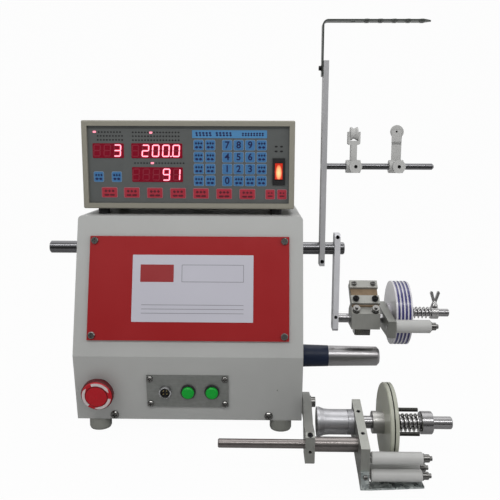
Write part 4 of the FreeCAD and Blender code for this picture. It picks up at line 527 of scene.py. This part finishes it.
# %% Recipe for rounded plates on points


class Recipe:
    """A Geometry Nodes tree with named inputs."""

    def __init__(self, name, inputs):
        self.tree = bpy.data.node_groups.new(name, "GeometryNodeTree")
        face = self.tree.interface
        face.new_socket("Geometry", in_out="INPUT", socket_type="NodeSocketGeometry")
        self.ids = {}
        for label, kind in inputs.items():
            socket = face.new_socket(label, in_out="INPUT", socket_type="NodeSocket" + kind)
            self.ids[label] = socket.identifier
        face.new_socket("Geometry", in_out="OUTPUT", socket_type="NodeSocketGeometry")
        self.source = self.tree.nodes.new("NodeGroupInput")
        self.sink = self.tree.nodes.new("NodeGroupOutput")

    def given(self, label):
        return Number(self.tree, self.source.outputs[label])

    def add(self, kind, settings=None, values=None):
        return Number(self.tree, add_node(self.tree, kind, settings, values).outputs[0])

    def finish(self, shape):
        """Realize the instances, set the material and end the tree."""
        solid = self.add("GeometryNodeRealizeInstances", None, {0: shape})
        worn = {"Geometry": solid, "Material": self.given("Finish")}
        feed(self.tree, self.sink.inputs[0], self.add("GeometryNodeSetMaterial", None, worn))

    def apply(self, name, points, values, body, slot, smooth=True):
        """Run the recipe on some points and keep the plain mesh."""
        mesh = bpy.data.meshes.new(name + "_points")
        mesh.from_pydata([tuple(point) for point in points], [], [])
        carrier = bpy.data.objects.new(name + "_carrier", mesh)
        bpy.context.scene.collection.objects.link(carrier)
        modifier = carrier.modifiers.new("recipe", "NODES")
        modifier.node_group = self.tree
        for label, value in values.items():
            modifier[self.ids[label]] = value
        bpy.context.view_layer.update()
        ready = carrier.evaluated_get(bpy.context.evaluated_depsgraph_get())
        result = bpy.data.meshes.new_from_object(ready)
        result.name = name
        bpy.data.objects.remove(carrier)
        print(name, len(result.polygons), "faces")
        settle(name, result, None, body, smooth)


plates = Recipe("rounded_plates", {"Width": "Float", "Height": "Float", "Corner": "Float",
                                   "Thickness": "Float", "Turn": "Vector", "Finish": "Material"})
outline = plates.add("GeometryNodeCurvePrimitiveQuadrilateral", None,
                     {"Width": plates.given("Width"), "Height": plates.given("Height")})
outline = plates.add("GeometryNodeFilletCurve", {"mode": "POLY"},
                     {"Curve": outline, "Radius": plates.given("Corner"), "Count": 5})
sheet = plates.add("GeometryNodeFillCurve", {"mode": "NGONS"}, {"Curve": outline})
raised = plates.add("GeometryNodeExtrudeMesh", None,
                    {"Mesh": sheet, "Offset Scale": plates.given("Thickness"), "Individual": False})
under = plates.add("GeometryNodeFlipFaces", None, {"Mesh": sheet})
both = plates.add("GeometryNodeJoinGeometry")
for part in (raised, under):
    plates.tree.links.new(part.socket, both.socket.node.inputs[0])
closed = plates.add("GeometryNodeMergeByDistance", None, {"Geometry": both, "Distance": 0.00001})
set_out = {"Points": plates.given("Geometry"), "Instance": closed, "Rotation": plates.given("Turn")}
plates.finish(plates.add("GeometryNodeInstanceOnPoints", None, set_out))


def plate_values(width, height, corner, thick, turn, finish):
    """The recipe's inputs from sizes in mm."""
    sizes = {"Width": width, "Height": height, "Corner": corner, "Thickness": thick}
    values = {label: size / 1000 for label, size in sizes.items()}
    return {**values, "Turn": turn, "Finish": finish.material}


# %% [markdown]
# The layout follows the usual order of such a face: displays on the left, function keys beside a
# number pad, a row of red command keys below. Each key is two plates: a pale rim, and the key's own
# colour a little smaller and higher.

# %% Keys, windows and lamps of the controller
FACE = 64.0
FRONT = (math.radians(90), 0, 0)
RIM_HEIGHT, KEY_HEIGHT = 0.5, 0.9
RIM_WIDTH = 0.6
CORNER_STEP = 0.4


def printed(name, colour, rough=0.45, **shader):
    return moulded(name, colour, rough, 0.5, 0.05, **shader)


def glowing(name, colour, light, strength, rough=0.4):
    return Finish(name, colour, rough, Emission_Color=light, Emission_Strength=strength)


key_blue = printed("key_blue", tone(58, 112, 162))
key_red = printed("key_red", tone(168, 38, 56))
key_edge = printed("key_edge", tone(122, 150, 176))
red_edge = printed("red_edge", tone(168, 116, 124))
band_blue = printed("band_blue", tone(72, 132, 180))
ink_navy = printed("ink_navy", tone(18, 28, 80))
ink_dark = printed("ink_dark", tone(26, 24, 28))
ink_wine = printed("ink_wine", tone(92, 16, 34))
window_red = printed("window_red", tone(112, 12, 34), 0.15, Emission_Color=tone(120, 0, 20),
                     Emission_Strength=0.25)


def face_plates(name, places, width, height, corner, thick, finish):
    """Rounded plates on the controller's face; each place is (X, Z) in mm."""
    points = [place(x, FACE, z) for x, z in places]
    values = plate_values(width, height, corner, thick, FRONT, finish)
    plates.apply(name, points, values, "frame", "keypad")


def grid(columns, rows):
    return [(x, z) for z in rows for x in columns]


PAD_ROWS = [363.2, 348.1, 333.0, 317.9]
function_keys = grid([9.9, 24.8], PAD_ROWS)
number_keys = grid([46.4, 61.1, 75.8, 90.5], PAD_ROWS)
lone_keys = grid([-119.1, -95.9], [322.6])
# The row of command keys drops by 0.9 mm for each 100 mm to the right.
command_keys = [(x, 302.6 - 0.009 * (x + 106)) for x in (-105.8, -77.0, -47.1, -17.2, 12.4, 42.4, 72.4)]
small_keys = grid([101.7, 116.9], [300.8])
for kind, places, width, height, corner, edge, finish in (
        ("blue_key", function_keys + number_keys + lone_keys, 13.2, 13.6, 2.0, key_edge, key_blue),
        ("command_key", command_keys, 20.6, 13.6, 1.6, red_edge, key_red),
        ("small_key", small_keys, 12.6, 13.0, 1.6, red_edge, key_red)):
    face_plates(kind + "_rims", places, width, height, corner, RIM_HEIGHT, edge)
    face_plates(kind + "s", places, width - 2 * RIM_WIDTH, height - 2 * RIM_WIDTH, corner - CORNER_STEP,
                KEY_HEIGHT, finish)
face_plates("title_band", [(49.5, 377.0)], 95.4, 10.0, 0.8, 0.3, band_blue)
face_plates("small_window", [(-106.0, 355.8)], 40.0, 18.6, 1.2, 0.5, window_red)
face_plates("wide_windows", [(-43.6, 355.8), (-43.3, 325.6)], 65.4, 18.8, 1.2, 0.5, window_red)

# %% [markdown]
# Seven-segment digits are drawn segment by segment from one table. They glow: a pale pink core on a
# slightly larger red one, so that the edge of each segment looks hotter than its surroundings.
# Under them lie all the segments of every place, dark, as an unlit display shows them.

# %% Glowing digits
SEGMENTS = {"0": "abcdef", "1": "bc", "2": "abdeg", "3": "abcdg", "8": "abcdefg", "9": "abcdfg"}
DIGIT_HEIGHT, DIGIT_WIDTH, DIGIT_PITCH = 14.0, 8.0, 13.1
DIGIT_LEAN = 0.06
# Each display: what it shows, how many places it has, its right end and its foot.
DISPLAYS = [("3", 3, -90.5, 349.0), ("2000", 5, -15.2, 348.8), ("91", 5, -15.0, 318.6)]
DOT_X, DOT_Z, DOT_LENGTH = -25.6, 348.8, 2.6


def bar(shape, x0, z0, x1, z1, wide, y, thick=0.25):
    """A flat bar with pointed ends from one (X, Z) place to another."""
    start, end = Vector((x0, z0)), Vector((x1, z1))
    along = (end - start).normalized()
    side = Vector((-along.y, along.x)) * wide / 2
    tip = along * wide / 2
    ring = [start, start + tip + side, end - tip + side, end, end - tip - side, start + tip - side]
    front = [shape.verts.new(place(p.x, y - thick, p.y)) for p in ring]
    back = [shape.verts.new(place(p.x, y, p.y)) for p in ring]
    shape.faces.new(front)
    shape.faces.new(back[::-1])
    for i in range(len(ring)):
        j = (i + 1) % len(ring)
        shape.faces.new((front[i], back[i], back[j], front[j]))


def digits(shape, text, right, foot, wide, y):
    """The text's segments, from the rightmost place to the left."""
    for places_left, sign in enumerate(reversed(text)):
        x = right - DIGIT_WIDTH - places_left * DIGIT_PITCH
        spots = [(x + across + DIGIT_LEAN * level, foot + level)
                 for level in (0, DIGIT_HEIGHT / 2, DIGIT_HEIGHT) for across in (0, DIGIT_WIDTH)]
        low_left, low_right, mid_left, mid_right, top_left, top_right = spots
        lines = {"a": (top_left, top_right), "b": (top_right, mid_right), "c": (mid_right, low_right),
                 "d": (low_right, low_left), "e": (low_left, mid_left), "f": (mid_left, top_left),
                 "g": (mid_left, mid_right)}
        for name in SEGMENTS[sign]:
            (x0, z0), (x1, z1) = lines[name]
            bar(shape, x0, z0, x1, z1, wide, y)


unlit = printed("unlit_segment", tone(140, 30, 50), 0.3)
red_glow = glowing("red_glow", tone(200, 10, 40), tone(214, 16, 52), 0.7)
core_glow = glowing("core_glow", tone(255, 170, 190), tone(255, 176, 196), 0.9)
for name, wide, raised, finish in (("unlit_segments", 1.6, 0.45, unlit), ("digit_halo", 2.6, 0.5, red_glow),
                                   ("digit_core", 1.4, 0.7, core_glow)):
    shape = bmesh.new()
    for text, count, right, foot in DISPLAYS:
        digits(shape, "8" * count if finish is unlit else text, right, foot, wide, FACE - raised)
    if finish is not unlit:
        bar(shape, DOT_X - DOT_LENGTH / 2, DOT_Z, DOT_X + DOT_LENGTH / 2, DOT_Z, wide, FACE - raised)
    from_bmesh(name, shape, finish, "frame", smooth=False)

# %% [markdown]
# The number pad carries plain figures. The other keys carry simple blocks, two short rows of them,
# and rows of small dashes stand where the film has its fine print.

# %% Figures and marks on the keys
FIGURE_SIZE, FIGURE_DEPTH, FIGURE_BOLDNESS = 12.0, 0.05, 0.25
FIGURE_LIFT = 1.0
MARK_THICKNESS = 0.08
ON_FILM, ON_BAND = 0.02, 0.32
DASH_PITCH = 3.9


def figures(name, labels, finish):
    """Several short texts as one mesh. Each label is (text, X, Z)."""
    shape = bmesh.new()
    upright = Matrix.Rotation(math.radians(90), 4, "X")
    for text, x, z in labels:
        curve = bpy.data.curves.new(name + text, "FONT")
        curve.body = text
        curve.size = FIGURE_SIZE / 1000
        curve.extrude = FIGURE_DEPTH / 1000
        curve.offset = FIGURE_BOLDNESS / 1000
        curve.align_x = "CENTER"
        curve.align_y = "CENTER"
        carrier = bpy.data.objects.new(name + text, curve)
        bpy.context.scene.collection.objects.link(carrier)
        bpy.context.view_layer.update()
        mesh = bpy.data.meshes.new_from_object(carrier)
        bpy.data.objects.remove(carrier)
        mesh.transform(Matrix.Translation(place(x, FACE - FIGURE_LIFT, z)) @ upright)
        shape.from_mesh(mesh)
        bpy.data.meshes.remove(mesh)
    bmesh.ops.remove_doubles(shape, verts=shape.verts, dist=0.000002)
    from_bmesh(name, shape, finish, "frame", smooth=False)


def marks(name, places, dashes, finish, lift=KEY_HEIGHT):
    """The same few dashes on each place. A dash is (X, Z, length, width) from the middle."""
    shape = bmesh.new()
    for x, z in places:
        for dx, dz, length, wide in dashes:
            left, right = x + dx - length / 2, x + dx + length / 2
            bar(shape, left, z + dz, right, z + dz, wide, FACE - lift, MARK_THICKNESS)
    from_bmesh(name, shape, finish, "frame", smooth=False)


def dash_rows(left, count, rows, pitch=DASH_PITCH):
    return [(left + i * pitch, z) for z in rows for i in range(count)]


pad = dict(zip("789.456-123+0", number_keys))
figures("key_figures", [(sign, x, z) for sign, (x, z) in pad.items() if sign.isdigit()], ink_navy)
unnumbered = [spot for sign, spot in pad.items() if not sign.isdigit()] + number_keys[len(pad):]
function_blocks = [(-3.2, 2.2, 3.3, 3.6), (0.2, 2.2, 3.0, 3.6), (3.5, 2.2, 3.2, 3.6),
                   (-2.4, -2.7, 4.6, 3.0), (2.4, -2.7, 4.6, 3.0)]
command_blocks = [(-4.6, 1.9, 4.2, 3.8), (0, 1.9, 4.0, 3.8), (4.6, 1.9, 4.2, 3.8),
                  (-3.6, -3.2, 7.0, 2.5), (3.6, -3.2, 7.0, 2.5)]
small_blocks = [(-1.8, 1.8, 3.2, 1.9), (2.0, 1.8, 3.0, 1.9), (0, -2.2, 7.2, 1.9)]
marks("function_marks", function_keys + lone_keys + unnumbered, function_blocks, ink_navy)
marks("command_marks", command_keys, command_blocks, ink_wine)
marks("small_marks", small_keys, small_blocks, ink_wine)

one_dash = [(0, 0, 2.9, 2.2)]
for name, places, dashes in (
        ("legend_dashes", dash_rows(-119, 9, (374.4, 369.4)), one_dash),
        ("legend_dashes_wide", dash_rows(-74, 16, (379.0, 374.2, 369.2)), one_dash),
        ("legend_dashes_low", dash_rows(-72, 17, (340.2,)), [(0, 0, 2.9, 2.0)]),
        ("power_marks", [(112.3, 361.6), (112.3, 355.6)], [(-3.4, 0, 4.4, 2.2), (3.4, 0, 4.4, 2.2)]),
        ("legend_dashes_top", dash_rows(-117.5, 8, (379.2,)), one_dash)):
    marks(name, places, dashes, ink_dark, ON_FILM)

# The title's eleven places have a gap in the middle, and its figures stand closer.
title_places = [spot for i, spot in enumerate(dash_rows(7.6, 11, (377.0,), 4.3)) if i != 5]
figure_places = dash_rows(66.5, 8, (377.0,), 3.6)
marks("title_marks", title_places, [(-0.2, 1.4, 3.6, 2.6), (0.3, -1.4, 3.6, 2.6)], ink_navy, ON_BAND)
marks("title_figures", figure_places, [(0, 1.0, 3.0, 2.2), (0, -1.3, 3.0, 2.2)], ink_navy, ON_BAND)
lamp_pink = glowing("lamp_pink", tone(255, 150, 170), tone(255, 130, 150), 0.9, 0.3)
face_plates("lamps", [(-123.1, 379.5), (-51.0, 378.7), (-49.7, 340.2)], 4.2, 2.4, 1.1, 0.4, lamp_pink)

# %% [markdown]
# The label on the red panel is a pale sheet with a red bar, an empty box and three ruled lines. It
# lies on the panel's slope, so its places are written along that slope and turned by the same lean
# as the sheet metal, which runs from the fold to the cabinet's top.

# %% Label on the red panel
CABINET_TOP = 274
SLOPE_DEPTH = 48
LABEL_MIDDLE = 5.0
SHEET_UP, RULES_UP, BOXES_UP = 85.2, 54.0, 104.0
RULE_PITCH = 5.2
ON_PANEL, ON_SHEET = 3.0, 3.3

lean_up = math.atan2(SLOPE_DEPTH, CABINET_TOP - FOLD_HEIGHT)
label_white = painted("label_white", tone(191, 190, 200), 0.4, 2.0, 0.02, 0.04)
label_grey = painted("label_grey", tone(128, 128, 136), 0.4, 2.0, 0.02, 0.04)
label_red = painted("label_red", tone(148, 34, 38), 0.4, 2.0, 0.02, 0.04)


def on_panel(x, up, out):
    """A place on the upper slope: up from the fold, out from the sheet metal."""
    y = up * math.sin(lean_up) - out * math.cos(lean_up)
    z = FOLD_HEIGHT + up * math.cos(lean_up) + out * math.sin(lean_up)
    return place(x, y, z)


def panel_plates(name, places, width, height, thick, finish, out=ON_SHEET, corner=0.6):
    points = [on_panel(x, up, out) for x, up in places]
    values = plate_values(width, height, corner, thick, (math.radians(90) - lean_up, 0, 0), finish)
    plates.apply(name, points, values, "frame", "red")


panel_plates("label_sheet", [(LABEL_MIDDLE, SHEET_UP)], 152, 84.2, 0.3, label_white, ON_PANEL, 0.8)
rule_places = [(LABEL_MIDDLE, RULES_UP + i * RULE_PITCH) for i in range(3)]
panel_plates("label_rules", rule_places, 128, 0.7, 0.05, label_grey, corner=0.2)
panel_plates("label_bars", [(-40.0, BOXES_UP)], 42, 22, 0.05, label_red)
panel_plates("label_box", [(30.0, BOXES_UP)], 78, 22, 0.05, label_grey)
panel_plates("label_box_inside", [(30.0, BOXES_UP)], 76.6, 20.6, 0.1, label_white)

# %% [markdown]
# The emergency stop shows three silver arrows around its cap, which say how to turn it free. They
# are thin strips on the cap's cone: each is swept over an angle and ends in a point.

# %% Arrows on the emergency stop
CONE_RADIUS, CONE_OUT, CONE_SLOPE = 17.4, 19.5, 0.2 / 3.4
ARROW_STARTS = (100, 220, 340)
ARROW_SWEEP, ARROW_STEPS = 92, 14
ARROW_RADIUS, ARROW_HALF_WIDTH = 16.2, 1.7
POINT_FROM = 0.8

arrow_silver = painted("arrow_silver", tone(206, 196, 196), 0.35, 1.5, 0.03, 0.05)


def on_cap(radius, angle, lift):
    """A place on the cap's cone at a radius and an angle from the top."""
    out = CONE_OUT + (CONE_RADIUS - radius) * CONE_SLOPE + lift
    side = Vector((1, 0, 0)) * math.sin(angle) + up_low * math.cos(angle)
    return STOP + (side * radius + out_low * out) / 1000


shape = bmesh.new()
for start in ARROW_STARTS:
    strip = []
    for step in range(ARROW_STEPS + 1):
        share = step / ARROW_STEPS
        angle = math.radians(start + ARROW_SWEEP * share)
        narrow = 1.0 if share < POINT_FROM else (1 - share) / (1 - POINT_FROM)
        half = ARROW_HALF_WIDTH * narrow + 0.02
        strip.append([shape.verts.new(on_cap(ARROW_RADIUS + side * half, angle, lift))
                      for lift in (-0.05, 0.15) for side in (-1, 1)])
    for first, second in zip(strip, strip[1:]):
        for i, j in ((0, 1), (1, 3), (3, 2), (2, 0)):
            shape.faces.new((first[i], first[j], second[j], second[i]))
    for end in (strip[0], strip[-1]):
        shape.faces.new([end[i] for i in (0, 1, 3, 2)])
from_bmesh("stop_arrows", shape, arrow_silver, "stop_head")

# %% [markdown]
# The pedal socket has a bright ring round a black insert with four pins. Its middle and direction
# are a mount of the machine, so they are read from the frame. The ring is a closed profile, swept
# once round that axis.

# %% Ring and pins of the pedal socket
RING_STEPS = 48
RING_PROFILE = [(6.0, 0.0), (6.2, 0.8), (7.0, 1.1), (7.9, 0.5), (8.1, -0.9), (8.1, -3.8), (6.0, -3.8)]
PINS, PIN_CIRCLE, PIN_DEPTH = 4, 3.0, 1.9
PIN_LENGTH, PIN_FOOT, PIN_TIP = 3.0, 0.9, 0.6

mouth = Vector(mounts["pedal_socket"]["pos_m"])


def in_socket(radius, angle, out):
    """A place at a radius and an angle round the socket's axis, and out from its mouth, in mm."""
    spoke = out_low.cross(up_low) * math.sin(angle) + up_low * math.cos(angle)
    return mouth + (spoke * radius + out_low * out) / 1000


shape = bmesh.new()
turns = [2 * math.pi * i / RING_STEPS for i in range(RING_STEPS)]
loops = [[shape.verts.new(in_socket(radius, angle, out)) for radius, out in RING_PROFILE] for angle in turns]
for first, second in zip(loops, loops[1:] + loops[:1]):
    for i in range(len(RING_PROFILE)):
        j = (i + 1) % len(RING_PROFILE)
        shape.faces.new((first[i], second[i], second[j], first[j]))
from_bmesh("socket_ring", shape, chrome_ring, "frame")

shape = bmesh.new()
outward = out_low.to_track_quat("Z", "Y").to_matrix().to_4x4()
for i in range(PINS):
    at = in_socket(PIN_CIRCLE, math.radians(45 + i * 360 / PINS), -PIN_DEPTH)
    bmesh.ops.create_cone(shape, segments=16, cap_ends=True, matrix=Matrix.Translation(at) @ outward,
                          radius1=PIN_FOOT / 1000, radius2=PIN_TIP / 1000, depth=PIN_LENGTH / 1000)
from_bmesh("socket_pins", shape, pin_brass, "frame")

# %% [markdown]
# A knurl is one small ridge repeated round a cylinder. The recipe sets a thin block on each of the
# points of a circle, turned to face away from the circle's middle, and lays the whole ring round X.

# %% Recipe for a knurl
KNURL_X = 191.8
KNURL_SIZES = {"Radius": 13.6, "Length": 6.4, "Depth": 0.9}
RIDGES = 56

knurl = Recipe("knurl", {"Ridges": "Int", "Radius": "Float", "Length": "Float", "Depth": "Float",
                         "Finish": "Material"})
circle = knurl.add("GeometryNodeMeshCircle", None,
                   {"Vertices": knurl.given("Ridges"), "Radius": knurl.given("Radius")})
facing_out = knurl.add("FunctionNodeAlignRotationToVector", {"axis": "X"},
                       {"Vector": knurl.add("GeometryNodeInputPosition")})
ridge_size = knurl.add("ShaderNodeCombineXYZ", None,
                       {0: knurl.given("Depth"), 1: knurl.given("Depth"), 2: knurl.given("Length")})
ridge = knurl.add("GeometryNodeMeshCube", None, {"Size": ridge_size})
ring = knurl.add("GeometryNodeInstanceOnPoints", None,
                 {"Points": circle, "Instance": ridge, "Rotation": facing_out})
lying = knurl.add("GeometryNodeTransform", None, {"Geometry": ring, "Rotation": (0, math.radians(90), 0)})
knurl.finish(knurl.add("GeometryNodeInstanceOnPoints", None,
                       {"Points": knurl.given("Geometry"), "Instance": lying}))
drum_axis = joints["drum_spin"]["pos_m"]
knurl_at = (KNURL_X / 1000, drum_axis[1], drum_axis[2])
knurl_values = {label: size / 1000 for label, size in KNURL_SIZES.items()}
knurl_values.update({"Ridges": RIDGES, "Finish": drum_aluminium.material})
knurl.apply("drum_knurl", [knurl_at], knurl_values, "drum", "steel", smooth=False)

# %% [markdown]
# The floor is a wide pale sheet that curves up behind the machine. The camera sees it as almost pure
# white, and so do mirrors where it is far back, but it lights the machine no more than its colour
# does, and it keeps a trace of the shadow.

# %% Floor and backdrop
FLOOR_PROFILE = [(-0.5, 0.0), (1.6, 0.0), (2.0, 0.05), (2.4, 0.3), (2.6, 0.8), (2.65, 3.5)]
FLOOR_HALF_WIDTH = 4
FAR_FROM, FAR_TO = 250, 900
WHITE_SHARE = 0.97
WHITE = (1, 1, 1, 1)


def ray_kinds(tree):
    """Whether a ray comes from the camera, from a mirror or through glass."""
    rays = tree.nodes.new("ShaderNodeLightPath").outputs
    return [Number(tree, rays[kind]) for kind in ("Is Camera Ray", "Is Glossy Ray", "Is Transmission Ray")]


shape = bmesh.new()
left, right = ([shape.verts.new((x, y, z)) for y, z in FLOOR_PROFILE]
               for x in (-FLOOR_HALF_WIDTH, FLOOR_HALF_WIDTH))
for i in range(len(FLOOR_PROFILE) - 1):
    shape.faces.new((left[i], right[i], right[i + 1], left[i + 1]))
floor_mesh = bpy.data.meshes.new("floor")
shape.to_mesh(floor_mesh)
shape.free()
floor_mesh.shade_smooth()
floor = bpy.data.objects.new("floor", floor_mesh)
bpy.context.scene.collection.objects.link(floor)

pale = Finish("floor_pale", tone(190, 190, 190), 0.9)
far_back = pale.between(pale.along(1), FAR_FROM, FAR_TO, 0.04, 0.95)
camera_ray, glossy_ray, through_ray = ray_kinds(pale.tree)
mirrored = (1 - camera_ray) * (glossy_ray + through_ray)
glow = add_node(pale.tree, "ShaderNodeEmission", None, {"Color": WHITE, "Strength": 1.0})
mixed = add_node(pale.tree, "ShaderNodeMixShader", None, {0: camera_ray * WHITE_SHARE + mirrored * far_back})
pale.tree.links.new(pale.shader.outputs[0], mixed.inputs[1])
pale.tree.links.new(glow.outputs[0], mixed.inputs[2])
pale.tree.links.new(mixed.outputs[0], pale.tree.nodes["Material Output"].inputs[0])
wear(floor, pale)

# %% [markdown]
# Studio light: one long, narrow lamp in front and above, which draws a thin highlight along every
# rod, a weaker one from the right and one overhead. The world fills the shadows evenly, with more
# from below, as a pale table would. Mirrors see a world that is bright behind and above.

# %% Lamps and world
LAMPS = [("main_light", (-0.1, -1.6, 1.7), (0, 0, 0.2), (2.8, 0.3), 18),
         ("side_light", (1.8, -0.8, 1.0), (0.1, 0, 0.2), (0.8, 1.2), 6),
         ("top_light", (0.1, 0.2, 2.0), (0.1, 0, 0.2), (1.2, 1.2), 7)]
FILL = 0.45

for name, at, towards, size, power in LAMPS:
    light = bpy.data.lights.new(name, "AREA")
    light.shape = "RECTANGLE"
    light.size, light.size_y = size
    light.energy = power
    holder = bpy.data.objects.new(name, light)
    bpy.context.scene.collection.objects.link(holder)
    holder.location = at
    holder.rotation_euler = (Vector(towards) - Vector(at)).to_track_quat("-Z", "Y").to_euler()

world = bpy.data.worlds.new("world")
bpy.context.scene.world = world
world.use_nodes = True
sky = world.node_tree


def sky_range(value, low, high, start, end):
    node = add_node(sky, "ShaderNodeMapRange", None, {0: value, 1: low, 2: high, 3: start, 4: end})
    return Number(sky, node.outputs[0])


camera_ray, glossy_ray, through_ray = ray_kinds(sky)
aim = Number(sky, sky.nodes.new("ShaderNodeTexCoord").outputs["Generated"])
ways = add_node(sky, "ShaderNodeSeparateXYZ", None, {0: aim})
to_back, upward = Number(sky, ways.outputs[1]), Number(sky, ways.outputs[2])
behind = sky_range(to_back, -0.2, 0.3, 0.0, 0.9)
above = sky_range(upward, 0.0, 0.7, 0.08, 0.7)
below = sky_range(upward, 0.0, -0.5, 0.0, 0.5)
mirrored = ((glossy_ray + through_ray) > 0.5) * (1 - camera_ray)
plain_light = (1 - camera_ray) * (1 - mirrored) * (FILL + below)
background = sky.nodes["Background"]
background.inputs["Color"].default_value = WHITE
feed(sky, background.inputs["Strength"], camera_ray + mirrored * (behind + above) + plain_light)
